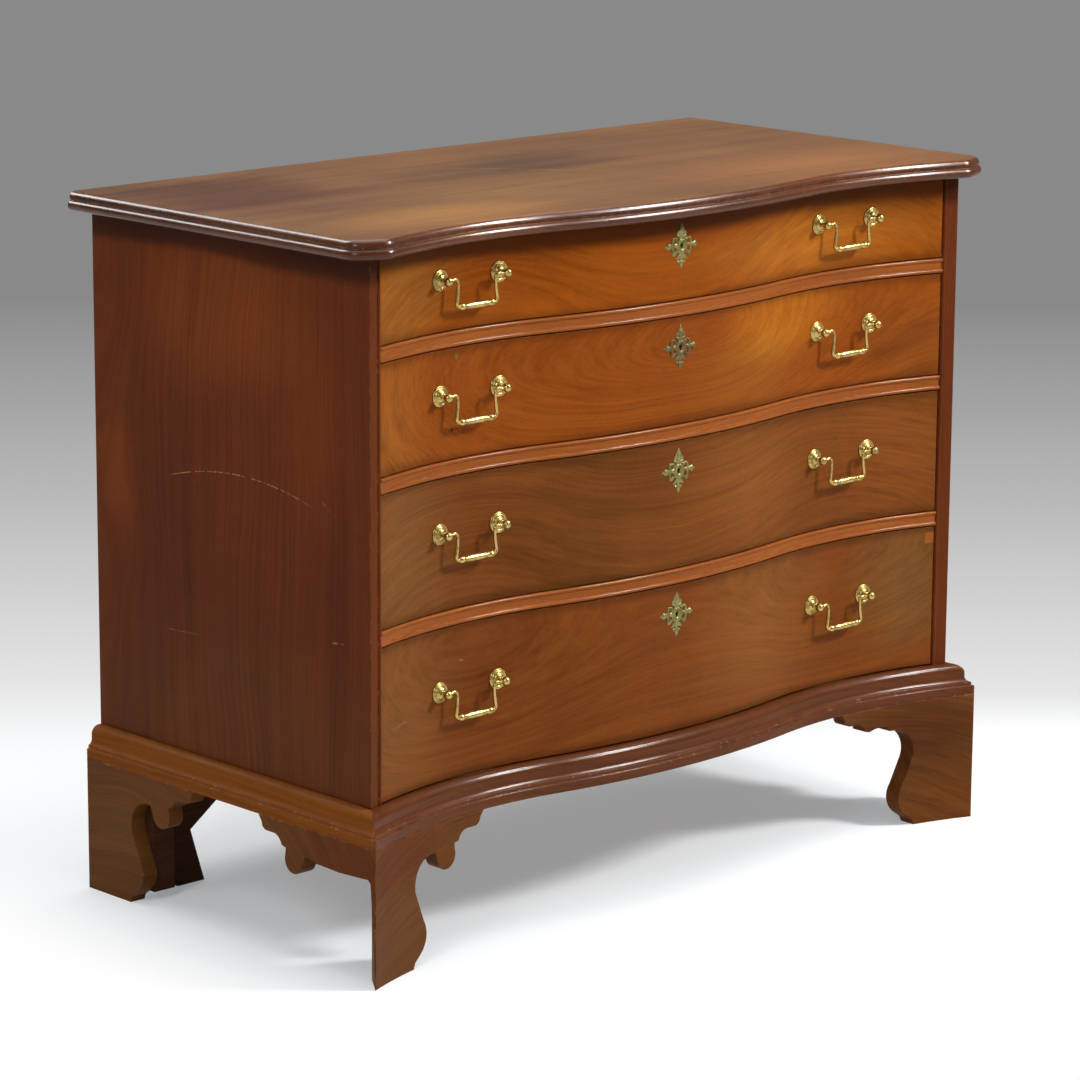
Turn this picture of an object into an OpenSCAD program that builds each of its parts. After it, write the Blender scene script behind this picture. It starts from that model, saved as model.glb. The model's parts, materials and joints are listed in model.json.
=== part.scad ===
// Serpentine chest of four graduated drawers on scrolled bracket feet, in millimetres.
// X runs along the front, Y towards the back and Z up. The origin is under the middle of the whole chest.

/* [Case] */
// Width over the two side boards
case_w = 940; // [880:1:1040]
// Depth from the front corners of the case to its back
case_d = 475; // [440:1:540]
// Thickness of the side boards
side_t = 19; // [17:0.5:24]
// Thickness of the bottom board
bottom_t = 16; // [13:0.5:20]
// Thickness of the back boards
back_t = 12; // [9:0.5:15]
// Depth of the rebate in a side board that holds the back boards
rebate_w = 10; // [8:0.5:12]
// Thickness of the rails and kickers under the top
rail_t = 16; // [13:0.5:20]
// Width of the rails under the top
rail_w = 70; // [50:1:90]

/* [Serpentine front] */
// Radius of the bow in the middle of the front
bow_r = 943.5; // [900:0.5:1050]
// Radius of the hollow on either side of the bow
hollow_r = 560; // [520:0.5:620]
// Distance of the deepest point of a hollow from the middle
hollow_x = 288.3; // [275:0.1:295]

/* [Openings and dividers] */
// Height of the top drawer's opening
opening_1 = 99; // [92:0.5:120]
// Height of the second drawer's opening
opening_2 = 125.5; // [110:0.5:140]
// Height of the third drawer's opening
opening_3 = 151; // [130:0.5:170]
// Height of the bottom drawer's opening
opening_4 = 176; // [150:0.5:200]
// Thickness of a divider
divider_t = 17.5; // [15:0.5:20]
// Distance from the middle of the front to the back of a divider
divider_d = 95; // [85:1:120]
// Radius of the bead along the dividers and down the sides
bead_r = 2.2; // [1.8:0.1:2.6]
// Depth of the housings in the side boards
housing_d = 8; // [6:0.5:10]
// Distance of a housing behind the front
housing_in = 14; // [10:0.5:18]
// Width of a drawer runner inside the case
runner_w = 28; // [22:1:34]
// Height of a drawer stop
stop_h = 6; // [4:0.5:6.5]

/* [Top] */
// Thickness of the top
top_t = 22; // [21:0.5:26]
// Overhang of the top at the sides
top_side = 34; // [26:1:40]
// Overhang of the top at the front
top_front = 29; // [24:1:36]
// Length of the canted corner along the front
cant_along = 41; // [30:1:52]
// Length of the canted corner along the side
cant_back = 17; // [12:1:24]
// Radius of the ovolo round the top's upper edge
ovolo_r = 8; // [6:0.5:9]
// Radius of the nosing under the ovolo
nose_r = 5.5; // [4.5:0.1:5.8]
// Height between the middle of the ovolo's round and the top of the nosing
quirk_h = 2; // [1:0.1:2.5]
// Distance of the ovolo behind the nosing
quirk_in = 2.6; // [1.5:0.1:3.5]

/* [Base] */
// Height of the inside floor of the case above the ground
base_h = 194; // [188:1:215]
// Height of the base moulding
mould_h = 37; // [34:0.5:42]
// Projection of the base moulding beyond the case
mould_out = 21; // [19:0.5:25]
// Radius of the cove in the base moulding
cove_r = 12; // [10:0.5:13]
// Height of the flat band at the foot of the moulding
band_h = 11; // [9:0.5:13]

/* [Feet] */
// Thickness of the bracket feet
bracket_t = 20; // [16:0.5:21]
// Width of a bracket where it stands on the ground
leg_w = 78; // [70:1:86]
// Radius of the bulge at the inner side of a leg
knee_r = 27.6; // [25:0.1:29]
// Radius of the hollow above the bulge
throat_r = 30; // [27:0.5:32]
// Radius of the drop that hangs beside the leg
drop_r = 15; // [13:0.5:16]
// Radius of the small cove between the drop and the end of the bracket
end_cove_r = 15; // [13:0.5:16]
// Thickness of the slanted braces of the rear feet
brace_t = 20; // [16:0.5:24]
// Distance of a rear brace in front of the back
brace_in = 47; // [35:1:60]
// Width of the glue blocks
block_w = 30; // [24:1:36]

/* [Drawers] */
// Thickness of a drawer front
front_t = 22; // [20:0.5:26]
// Gap round a drawer front
front_gap = 1.4; // [0.8:0.1:2]
// Thickness of the drawer sides and backs
lining_t = 11; // [9:0.5:13]
// Wood left in front of the dovetails of a drawer front
lap_t = 8; // [6:0.5:10]
// Thickness of a drawer bottom
panel_t = 6; // [5:0.5:8]
// Height of a drawer bottom above the floor of its opening
panel_lift = 9; // [8:0.5:11]
// Depth of the grooves for a drawer bottom
groove_d = 5; // [4:0.5:6]
// Room between the back of a drawer and the back boards
drawer_room = 13.603; // [8:0.001:80]

/* [Handles] */
// Distance of a handle's middle from the middle of the chest
handle_x = 301; // [270:1:320]
// Distance between the two posts of a handle
handle_w = 89; // [82:1:100]
// Distance from the drawer front to the hinge line of a bail
handle_out = 14; // [13:0.5:18]
// Drop of a bail from its hinge line to the middle of its grip
bail_drop = 30; // [27:0.5:36]
// Radius of a rosette
rosette_r = 12; // [10:0.5:14]
// Radius of a post's ball
ball_r = 5; // [4.5:0.1:5.5]
// Radius of a post's screwed shank
shank_r = 2.5; // [2:0.1:3]
// Radius of a bail's pins
pin_r = 1.6; // [1.3:0.1:1.8]
// Radius of a bail's arms
wire_r = 1.9; // [1.8:0.1:2.3]
// Radius of the grip at its thickest bead
grip_r = 3.8; // [3:0.1:4.2]

/* [Locks] */
// Distance of the keyhole below the top of its opening
key_drop = 36; // [34:0.5:40]
// Travel of a lock bolt
bolt_travel = 8; // [6:0.5:9]
// Width of a lock
lock_w = 50; // [44:1:60]
// Depth of a lock
lock_d = 14; // [12:0.5:16]
// Width of a lock bolt
bolt_w = 16; // [12:0.5:20]
// Width of an escutcheon
plate_w = 55; // [50:1:62]
// Height of an escutcheon
plate_h = 52; // [48:1:58]
// Thickness of an escutcheon
plate_t = 1.6; // [1.2:0.1:2]

/* [Hidden] */

line_fn = 720;
round_fn = 48;
far = 2000;
cut = 1;

mahogany = [0.36, 0.15, 0.06];
drawer_mahogany = [0.52, 0.24, 0.08];
pine = [0.62, 0.47, 0.28];
brass = [0.72, 0.58, 0.28];
old_brass = [0.45, 0.42, 0.26];
iron = [0.25, 0.24, 0.23];

// The bow and the hollows meet where the line between their centres crosses the front.
bow_y = bow_r;
hollow_y = bow_y - sqrt(pow(bow_r + hollow_r, 2) - pow(hollow_x, 2));
turn_angle = asin(hollow_x / (bow_r + hollow_r));

// Y of the front line at a distance x from the middle, with the line moved forwards by o
function front_y(x, o = 0) = abs(x) <= (bow_r + o) * sin(turn_angle)
  ? bow_y - sqrt(pow(bow_r + o, 2) - x * x)
  : hollow_y + sqrt(pow(hollow_r - o, 2) - pow(abs(x) - hollow_x, 2));

half_w = case_w / 2;
inner_w = half_w - side_t;
corner_y = front_y(half_w);
back_y = corner_y + case_d;
back_in = back_y - back_t;
opening_h = [opening_1, opening_2, opening_3, opening_4];
function drawer_h(n) = opening_h[n - 1];
function floor_z(n) = n == 4 ? base_h : floor_z(n + 1) + drawer_h(n + 1) + divider_t;
case_top = floor_z(1) + drawer_h(1);
side_low = base_h - bottom_t - 10;
housing_x = inner_w + housing_d;

half_top = half_w + top_side;
cant_x = half_top - cant_along;
cant_y = front_y(cant_x, top_front);

foot_h = base_h - mould_h;
foot_x = half_w + mould_out;
foot_y = front_y(foot_x, mould_out);
mid_y = (min(-top_front, cant_y, foot_y) + back_y) / 2;
bracket_in = mould_out - bracket_t;

drawer_w = inner_w - front_gap;
lining_x = drawer_w - lining_t;
shoulder_step = 0.1;
shoulder_y = front_y(lining_x, -front_t) + shoulder_step;
tail_y = front_y(drawer_w) + lap_t;
drawer_back = back_in - drawer_room;
slide_gap = 0.3;
joint_gap = 0.2;
fit_gap = 0.1;
function front_low(n) = floor_z(n) + front_gap;
function front_high(n) = floor_z(n) + drawer_h(n) - front_gap;
function lining_low(n) = floor_z(n) + slide_gap;
function lining_high(n) = floor_z(n) + drawer_h(n) - (n == 1 ? rail_t + 3 : 6);
function panel_z(n) = floor_z(n) + panel_lift;
function key_z(n) = floor_z(n) + drawer_h(n) - key_drop;
handle_rise = 0.585;
function handle_z(n) = floor_z(n) + handle_rise * drawer_h(n);

// Moves a piece from the drawing frame, where the bow touches y = 0, to the chest's own frame
module place() {
  translate([0, -mid_y, 0]) children();
}

module both_sides() {
  for (side = [0, 1]) mirror([side, 0, 0]) children();
}

module at_bow() {
  translate([0, bow_y, 0]) children();
}

// The whole millimetres go first and the rest after them, which keeps every digit of the two arcs' meeting.
module at_hollow() {
  whole = [floor(hollow_x), floor(hollow_y), 0];
  translate(whole) translate([hollow_x, hollow_y, 0] - whole) children();
}

// Ground plan in front of which the bow lies, and the plan to its right where the hollow lies
module bow_plan() {
  polygon([[0, bow_y], [hollow_x, hollow_y], [-hollow_x, hollow_y]]);
}

module hollow_plan() {
  polygon([[0, bow_y], [hollow_x, hollow_y], [far, hollow_y], [far, bow_y]]);
}

// Plan of everything behind the serpentine line moved forwards by o
module behind(o, half, back) {
  intersection() {
    translate([-half, -bow_r]) square([2 * half, bow_r + back]);
    union() {
      intersection() {
        at_bow() circle(r = bow_r + o, $fn = line_fn);
        bow_plan();
      }
      both_sides() difference() {
        hollow_plan();
        at_hollow() circle(r = hollow_r - o, $fn = line_fn);
      }
    }
  }
}

// A board of even thickness behind the serpentine line
module board(o, half, back, low, high) {
  translate([0, 0, low]) linear_extrude(high - low) behind(o, half, back);
}

// A section, drawn as the child with x forwards from the line and y up, swept along the serpentine line
module sweep(half, back, h) {
  intersection() {
    translate([-half, -bow_r, 0]) cube([2 * half, bow_r + back, h]);
    union() {
      intersection() {
        at_bow() rotate_extrude($fn = line_fn) translate([bow_r, 0]) children();
        linear_extrude(h) bow_plan();
      }
      both_sides() intersection() {
        at_hollow() rotate_extrude($fn = line_fn) translate([hollow_r, 0]) mirror([1, 0]) children();
        linear_extrude(h) hollow_plan();
      }
    }
  }
}

// An outline in X and Z, made solid between two distances behind the front
module front_slab(near_y, far_y) {
  translate([0, far_y, 0]) rotate([90, 0, 0]) linear_extrude(far_y - near_y) children();
}

// An outline in Y and Z, made solid between two distances from the middle
module side_slab(near_x, far_x) {
  translate([near_x, 0, 0]) rotate([90, 0, 90]) linear_extrude(far_x - near_x) children();
}

function arc(centre, r, from, to, step = 9) = [
  for (i = [0 : ceil(abs(to - from) / step)])
    let (a = from + (to - from) * i / ceil(abs(to - from) / step)) centre + r * [cos(a), sin(a)]
];

// Section of the top's edge, with its tip at x = 0: an ovolo above a nosing, with a quirk where the rounds meet
module top_edge(reach) {
  core_in = quirk_in + 1.5;
  quirk_z = top_t - ovolo_r;
  nose_z = quirk_z - quirk_h - nose_r;
  flat_x = -quirk_in - ovolo_r;
  translate([-reach, 0]) square([reach + flat_x, top_t]);
  translate([flat_x, quirk_z]) circle(r = ovolo_r, $fn = round_fn);
  translate([-reach, nose_z]) square([reach - core_in, quirk_z - nose_z]);
  translate([-nose_r, nose_z]) circle(r = nose_r, $fn = round_fn);
  translate([-reach, nose_z - nose_r]) square([reach - nose_r, nose_r]);
}

// Everything behind a straight moulded edge of the top that passes through a point and faces along an angle
module straight_edge(point, angle) {
  translate([point.x, point.y, case_top]) rotate([90, 0, angle])
    translate([0, 0, -far]) linear_extrude(2 * far) top_edge(3 * half_top);
}

// The pocket for a lock's bolt in the board above drawer n
module bolt_mortise(n) {
  pocket = [bolt_w + 2, bolt_t + 2, bolt_travel];
  translate([-pocket.x / 2, bolt_y - 1, floor_z(n) + drawer_h(n)]) cube(pocket);
}

module top() {
  sweep_reach = 540;
  cant_angle = atan2(-cant_along, cant_back);
  color(mahogany) place() difference() {
    intersection() {
      translate([0, 0, case_top]) sweep(half_top + cut, back_y, top_t)
        translate([top_front, 0]) top_edge(sweep_reach);
      straight_edge([half_top, 0], 0);
      mirror([1, 0, 0]) straight_edge([half_top, 0], 0);
      straight_edge([cant_x, cant_y], cant_angle);
      mirror([1, 0, 0]) straight_edge([cant_x, cant_y], cant_angle);
    }
    bolt_mortise(1);
  }
}

// Housing for a divider and the two runners behind it
module housing(low, high) {
  translate([inner_w, front_y(inner_w) + housing_in, low])
    cube([housing_d, back_in - front_y(inner_w) - housing_in, high - low]);
}

// Plan of a rail under the top, with a dovetail at each end
module rail_plan(y) {
  tail_in = 10;
  tail_flare = 6;
  tail_l = 12;
  end = [[inner_w, y + tail_in], [inner_w + tail_l, y + tail_in - tail_flare],
    [inner_w + tail_l, y + rail_w - tail_in + tail_flare], [inner_w, y + rail_w - tail_in]];
  translate([-inner_w, y]) square([2 * inner_w, rail_w]);
  both_sides() polygon(end);
}

front_rail_y = 60;
rear_rail_y = back_in - rail_w;

module side() {
  color(mahogany) place() {
    difference() {
      translate([0, 0, side_low]) linear_extrude(case_top - side_low) difference() {
        translate([inner_w, -bow_r]) square([side_t, bow_r + back_y]);
        at_hollow() circle(r = hollow_r, $fn = line_fn);
      }
      housing(base_h - bottom_t, base_h);
      for (n = [1 : 3]) housing(floor_z(n) - divider_t, floor_z(n));
      translate([inner_w - cut, back_in, side_low - cut])
        cube([rebate_w + cut, back_t + cut, case_top - side_low + 2 * cut]);
      for (y = [front_rail_y, rear_rail_y])
        translate([0, 0, case_top - rail_t]) linear_extrude(rail_t + cut) rail_plan(y);
    }
    translate([inner_w + bead_r, front_y(inner_w + bead_r), base_h])
      cylinder(r = bead_r, h = case_top - base_h, $fn = round_fn);
  }
}

module side_left() {
  mirror([1, 0, 0]) side();
}

module side_right() {
  side();
}

module bottom_board() {
  color(pine) place() {
    board(0, inner_w, back_in, base_h - bottom_t, base_h);
    both_sides() housing(base_h - bottom_t, base_h);
  }
}

// Three boards lie across the back, each lapped over the one below.
module back_boards() {
  count = 3;
  lap = 6;
  gap = 0.5;
  lap_y = back_in + back_t / 2;
  half = inner_w + rebate_w;
  pitch = (case_top - side_low) / count;
  color(pine) place() for (i = [0 : count - 1]) {
    low = side_low + i * pitch;
    high = low + pitch - gap;
    foot = i == 0 ? [[back_in, low], [back_y, low]]
      : [[back_in, low], [lap_y - gap, low], [lap_y - gap, low + lap], [back_y, low + lap]];
    head = i == count - 1 ? [[back_y, high], [back_in, high]]
      : [[back_y, high + lap], [lap_y, high + lap], [lap_y, high], [back_in, high]];
    side_slab(-half, half) polygon(concat(foot, head));
  }
}

// Section of a divider: its front edge stands between an upper and a lower bead.
divider_reach = 135;
module divider_edge() {
  translate([-divider_reach, 0]) square([divider_reach, divider_t]);
  for (z = [bead_r, divider_t - bead_r]) translate([0, z]) circle(r = bead_r, $fn = round_fn);
}

// The tongue on a runner's end and the slot for it in the back of a divider
tongue = [12, 6];
module runner_tongue(n) {
  translate([inner_w - runner_w, divider_d - tongue.x, floor_z(n) - (divider_t + tongue.y) / 2])
    cube([runner_w, tongue.x, tongue.y]);
}

// Plan of a divider: its ends are square to the sides, but the beads in front of them end square to the line.
module divider_plan() {
  end = [inner_w, front_y(inner_w) + bead_r / 8];
  polygon([[inner_w, divider_d + cut], end, [hollow_x, hollow_y],
    [-hollow_x, hollow_y], [-end.x, end.y], [-inner_w, divider_d + cut]]);
}

module divider(n) {
  color(mahogany) place() difference() {
    union() {
      translate([0, 0, floor_z(n) - divider_t]) intersection() {
        sweep(inner_w + cut, divider_d, divider_t) divider_edge();
        translate([0, 0, -cut]) linear_extrude(divider_t + 2 * cut) divider_plan();
      }
      both_sides() intersection() {
        housing(floor_z(n) - divider_t, floor_z(n));
        translate([0, 0, floor_z(n) - divider_t]) cube([far, divider_d, divider_t]);
      }
    }
    bolt_mortise(n + 1);
    both_sides() runner_tongue(n);
  }
}

module top_rails() {
  color(pine) place() {
    for (y = [front_rail_y, rear_rail_y])
      translate([0, 0, case_top - rail_t]) linear_extrude(rail_t) rail_plan(y);
    both_sides() translate([inner_w - runner_w, front_rail_y + rail_w + joint_gap, case_top - rail_t])
      cube([runner_w, rear_rail_y - front_rail_y - rail_w - 2 * joint_gap, rail_t]);
  }
}

module drawer_runners() {
  color(pine) place() both_sides() for (n = [1 : 3]) {
    translate([inner_w - runner_w, divider_d, floor_z(n) - divider_t])
      cube([runner_w + housing_d, back_in - divider_d, divider_t]);
    runner_tongue(n);
  }
}

// Two small blocks behind each drawer front stop the drawer flush with the case.
module drawer_stops() {
  stop_x = 200;
  stop_l = 40;
  stop_w = 25;
  color(pine) place() both_sides() for (n = [1 : 4])
    translate([0, 0, floor_z(n)]) linear_extrude(stop_h) intersection() {
      behind(-front_t - slide_gap, inner_w, divider_d);
      translate([stop_x - stop_l / 2, front_y(stop_x, -front_t)]) square([stop_l, stop_w]);
    }
}

// Section of the base moulding: a flat band, a step, a cove and a rounded lip against the case
module moulding() {
  lip = mould_out - mould_step - cove_r;
  cove_z = band_h + step_h + cove_r;
  difference() {
    union() {
      square([mould_out, band_h]);
      square([mould_out - mould_step, cove_z]);
      square([lip, mould_h - lip_r]);
      square([lip - lip_r, mould_h]);
      translate([lip - lip_r, mould_h - lip_r]) circle(r = lip_r, $fn = round_fn);
    }
    translate([mould_out - mould_step, cove_z]) circle(r = cove_r, $fn = round_fn);
    translate([-lip_r, -cut]) square([lip_r, mould_h + 2 * cut]);
  }
}
mould_step = 2.5;
step_h = 3.5;
lip_r = 4;

// Plan of the ground in front of the mitres at the two front corners of the base, moved back by a gap
module front_of_mitres(gap = 0) {
  run = [mould_out, foot_y - corner_y];
  inner = [half_w, corner_y + gap] - 3 * run;
  outer = [half_w, corner_y + gap] + 3 * run;
  polygon([[-inner.x, inner.y], [-outer.x, outer.y], [-outer.x, -bow_r],
    [outer.x, -bow_r], outer, inner]);
}

module base_moulding_front() {
  color(mahogany) place() intersection() {
    translate([0, 0, foot_h]) sweep(foot_x + cut, divider_d, mould_h) moulding();
    linear_extrude(base_h + cut) front_of_mitres();
  }
}

module base_moulding_side() {
  color(mahogany) place() difference() {
    translate([half_w, back_y, foot_h]) rotate([90, 0, 0])
      linear_extrude(back_y - foot_y + cut) moulding();
    linear_extrude(base_h + cut) front_of_mitres();
  }
}

module base_moulding_left() {
  mirror([1, 0, 0]) base_moulding_side();
}

module base_moulding_right() {
  base_moulding_side();
}

// Outline of a bracket foot, from its outer corner at x = 0 to the scrolled end under the moulding
knee = [leg_w - 4, 36];
throat = [leg_w + throat_r + 3, foot_h - 32.5 - throat_r];
drop = [throat.x + 25, foot_h - 26 - drop_r];
end_cove = [drop.x + 20 + end_cove_r, foot_h - 16 - end_cove_r];
end_round_r = 8.5;
end_round = [end_cove.x + 11, end_cove.y + end_cove_r + end_round_r];
bracket_l = end_round.x + end_round_r + 5.5;
module bracket_outline() {
  polygon(concat(
    [[0, 0], [leg_w, 0], [leg_w + 3, 7]],
    arc(knee, knee_r, -55, 35),
    arc(throat, throat_r, 200, 95),
    [[drop.x - 19, throat.y + throat_r]],
    arc(drop, drop_r, 200, 380),
    [[drop.x + 13.6, drop.y + 12.3], [end_cove.x - end_cove_r - 1, end_cove.y + 3.5]],
    arc(end_cove, end_cove_r, 165, 90),
    arc(end_round, end_round_r, -90, 0),
    [[bracket_l, foot_h], [0, foot_h]]
  ));
}

// Plan of the front brackets, which follow the hollows of the front
module front_bracket_plan() {
  intersection() {
    difference() {
      translate([0, -bow_r]) square([foot_x + cut, 2 * bow_r]);
      at_hollow() circle(r = hollow_r - mould_out, $fn = line_fn);
    }
    at_hollow() circle(r = hollow_r - bracket_in, $fn = line_fn);
    front_of_mitres();
  }
}

module front_bracket() {
  intersection() {
    linear_extrude(foot_h) front_bracket_plan();
    front_slab(-far, far) translate([foot_x, 0]) mirror([1, 0]) children();
  }
}

module side_bracket() {
  difference() {
    side_slab(half_w + bracket_in, foot_x) translate([foot_y, 0]) children();
    linear_extrude(foot_h + cut) front_of_mitres(joint_gap);
  }
}

// The left front foot has lost its side leg along the grain, down to a splinter beside the mitre.
module broken_leg() {
  break_z = foot_h - 34;
  polygon([[1, -cut], [3, 40], [5, 80], [8, break_z - 4], [12, break_z - 0.4], [30, break_z - 1.5],
    [60, break_z - 3], [84, break_z - 2], [leg_w + 36, break_z - 1.5], [leg_w + 36, -cut]]);
}

// The right front foot has lost the drop of its front bracket.
module broken_drop() {
  polygon([[drop.x - 19, throat.y + throat_r], [drop.x - 15, drop.y + 15], [drop.x - 3, drop.y + 15.8],
    [drop.x + 6, drop.y + 14.5], [drop.x + 16, drop.y + 11.5], [drop.x + 16, drop.y - 2 * drop_r],
    [drop.x - 21, drop.y - 2 * drop_r]]);
}

module foot_front_left() {
  color(mahogany) place() mirror([1, 0, 0]) {
    front_bracket() bracket_outline();
    side_bracket() difference() {
      bracket_outline();
      broken_leg();
    }
  }
}

module foot_front_right() {
  color(mahogany) place() {
    front_bracket() difference() {
      bracket_outline();
      broken_drop();
    }
    side_bracket() bracket_outline();
  }
}

module foot_rear() {
  color(mahogany) place() side_slab(half_w + bracket_in, foot_x)
    translate([back_y, 0]) mirror([1, 0]) bracket_outline();
}

module foot_rear_left() {
  mirror([1, 0, 0]) foot_rear();
}

module foot_rear_right() {
  foot_rear();
}

// Slanted boards across the back stiffen the rear feet.
brace_y = back_y - brace_in - brace_t;
module rear_braces() {
  outer = half_w + bracket_in;
  outline = [[outer, foot_h], [outer - 206, foot_h], [outer - 78, 65], [outer - 98, 0], [outer - 58, 0],
    [outer - 16, 100], [outer, 110]];
  color(pine) place() both_sides() front_slab(brace_y, brace_y + brace_t) polygon(outline);
}

// Blocks glued behind the brackets and along the underside of the bottom board
module glue_blocks() {
  block_z = 12;
  strip_l = 90;
  strip_z = foot_h + 1;
  outer = half_w + bracket_in;
  color(pine) place() {
    translate([0, 0, block_z]) linear_extrude(foot_h - block_z) intersection() {
      translate([outer - block_w, -bow_r]) square([block_w, 2 * bow_r]);
      at_hollow() difference() {
        circle(r = hollow_r + block_w, $fn = line_fn);
        circle(r = hollow_r - bracket_in, $fn = line_fn);
      }
      translate([0, -bow_r]) square([far, bow_r + foot_y + bracket_t + block_w]);
    }
    both_sides() translate([outer - block_w, brace_y - block_w, block_z])
      cube([block_w, block_w, foot_h - block_z]);
    translate([0, 0, strip_z]) linear_extrude(base_h - bottom_t - strip_z)
      for (x = [-260, 0, 260]) intersection() {
        difference() {
          behind(0, inner_w, divider_d);
          behind(-block_w, inner_w + cut, divider_d + cut);
        }
        translate([x - strip_l / 2, -bow_r]) square([strip_l, 2 * bow_r]);
      }
  }
}

// Outline in Y and Z of the dovetails on one end of a drawer side, from their root at y = 0 to y = length
module tails(low, high, length) {
  count = max(2, round((high - low) / 42));
  pitch = (high - low) / count;
  wide = 0.74;
  narrow = 0.58;
  for (i = [0 : count - 1]) {
    mid = low + (i + 0.5) * pitch;
    root = narrow * pitch / 2;
    end = wide * pitch / 2;
    polygon([[-cut, mid - root], [0, mid - root], [length, mid - end],
      [length, mid + end], [0, mid + root], [-cut, mid + root]]);
  }
}

// The dovetails at the front and the back of the right side of drawer n
module front_tails(n) {
  side_slab(lining_x, drawer_w) translate([shoulder_y, 0]) mirror([1, 0])
    tails(lining_low(n) + front_gap, lining_high(n), shoulder_y - tail_y);
}

module rear_tails(n) {
  side_slab(lining_x, drawer_w) translate([drawer_back - lining_t, 0])
    tails(panel_z(n) + panel_t, lining_high(n), lining_t);
}

// Plan of a drawer bottom, let into the grooves of the front and the sides by groove_d less a gap
module panel_plan(gap) {
  let_in = groove_d - gap;
  difference() {
    behind(-front_t + let_in, lining_x + let_in, drawer_back);
    both_sides() translate([lining_x - gap, -bow_r]) square([let_in + gap + cut, bow_r + shoulder_y]);
  }
}

// The round hole and slot of a keyhole, above and below key_z
module keyhole(n) {
  hole_r = 3;
  slot_w = 2.8;
  slot_l = 11;
  translate([0, key_z(n)]) circle(r = hole_r, $fn = round_fn);
  translate([-slot_w / 2, key_z(n) - slot_l]) square([slot_w, slot_l]);
}

lock_y = 13;
lock_low = 12;
cap_t = 2;
cap_over = 6;
bolt_t = 4.5;
bolt_y = lock_y + (lock_d - bolt_t) / 2;
bolt_h = 26;
bolt_rest = 0.5;

// A lock's case under a wider cap that lies flush with the top of its drawer front
module lock_shape(n) {
  low = key_z(n) - lock_low;
  translate([-lock_w / 2, lock_y, low]) cube([lock_w, lock_d, front_high(n) - low]);
  translate([-lock_w / 2 - cap_over, lock_y - cap_t, front_high(n) - cap_t])
    cube([lock_w + 2 * cap_over, lock_d + cap_t, cap_t]);
}

// Distances of a handle's two posts from the middle of the chest
post_x = [handle_x - handle_w / 2, handle_x + handle_w / 2];

module drawer_front(n) {
  deep = shoulder_y + 60;
  color(drawer_mahogany) place() difference() {
    translate([0, 0, front_low(n)]) linear_extrude(front_high(n) - front_low(n)) difference() {
      behind(0, drawer_w, deep);
      behind(-front_t, lining_x, deep + cut);
      both_sides() translate([lining_x, shoulder_y]) square([lining_t + cut, deep]);
    }
    both_sides() front_tails(n);
    translate([0, 0, panel_z(n)]) linear_extrude(panel_t) behind(-front_t + groove_d, lining_x, deep);
    lock_shape(n);
    front_slab(-lock_d, lock_y + cut) keyhole(n);
    both_sides() for (x = post_x) translate([x, front_y(x) - cut, handle_z(n)]) rotate([-90, 0, 0])
      cylinder(r = shank_r + fit_gap, h = front_t + 4 * cut, $fn = round_fn);
  }
}

module drawer_sides(n) {
  low = lining_low(n);
  back_low = panel_z(n) + panel_t;
  color(pine) place() both_sides() difference() {
    union() {
      translate([lining_x, shoulder_y, low])
        cube([lining_t, drawer_back - lining_t - shoulder_y, lining_high(n) - low]);
      translate([lining_x, drawer_back - lining_t - cut, low])
        cube([lining_t, lining_t + cut, back_low - low]);
      front_tails(n);
      rear_tails(n);
    }
    translate([lining_x - cut, shoulder_y, panel_z(n)])
      cube([groove_d + cut, drawer_back - shoulder_y + cut, panel_t]);
  }
}

module drawer_back(n) {
  low = panel_z(n) + panel_t;
  color(pine) place() difference() {
    translate([-drawer_w, drawer_back - lining_t, low])
      cube([2 * drawer_w, lining_t, lining_high(n) - low]);
    both_sides() rear_tails(n);
  }
}

module drawer_bottom(n) {
  color(pine) place() translate([0, 0, panel_z(n)]) linear_extrude(panel_t) panel_plan(fit_gap);
}

module drawer_lock(n) {
  guide = [bolt_w + 2 * fit_gap, bolt_t + 2 * fit_gap, bolt_h + bolt_rest + cut];
  color(iron) place() difference() {
    lock_shape(n);
    translate([-guide.x / 2, bolt_y - fit_gap, front_high(n) - guide.z + cut / 2]) cube(guide);
    front_slab(lock_y - cut, lock_y + 3) keyhole(n);
  }
}

module drawer_lock_bolt(n) {
  color(brass) place() translate([-bolt_w / 2, bolt_y, front_high(n) - bolt_rest - bolt_h])
    cube([bolt_w, bolt_t, bolt_h]);
}

// Outline of an escutcheon: a pierced lozenge with a boss, four lobes and a pointed finial at each corner
module escutcheon_outline(n) {
  tip_r = 4;
  half = [plate_w / 2, plate_h / 2];
  boss_r = 8.5;
  lobe = 0.27 * half;
  translate([0, key_z(n)]) difference() {
    union() {
      polygon([[half.x - tip_r, 0], [0, half.y - tip_r], [tip_r - half.x, 0], [0, tip_r - half.y]]);
      for (a = [0 : 90 : 270]) rotate(a) {
        reach = a % 180 == 0 ? half.x : half.y;
        translate([reach - 2 * tip_r, 0]) circle(r = tip_r + 1.5, $fn = round_fn);
        polygon([[reach, 0], [reach - tip_r, tip_r], [reach - 2 * tip_r, 0], [reach - tip_r, -tip_r]]);
      }
      for (sx = [-1, 1], sy = [-1, 1]) translate([sx * half.x * 0.5, sy * half.y * 0.5])
        circle(r = 4.2, $fn = round_fn);
    }
    for (sx = [-1, 1], sy = [-1, 1]) {
      translate([sx * (boss_r + lobe.x * 0.2), sy * (boss_r + lobe.y * 0.2)]) circle(r = 3.1, $fn = round_fn);
      translate([sx * half.x * 0.54, sy * half.y * 0.54]) circle(r = 1.3, $fn = round_fn);
    }
    for (a = [0 : 90 : 270]) rotate(a) translate([boss_r + 5, 0]) circle(r = 1.8, $fn = round_fn);
    translate([0, -key_z(n)]) keyhole(n);
  }
}

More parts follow.
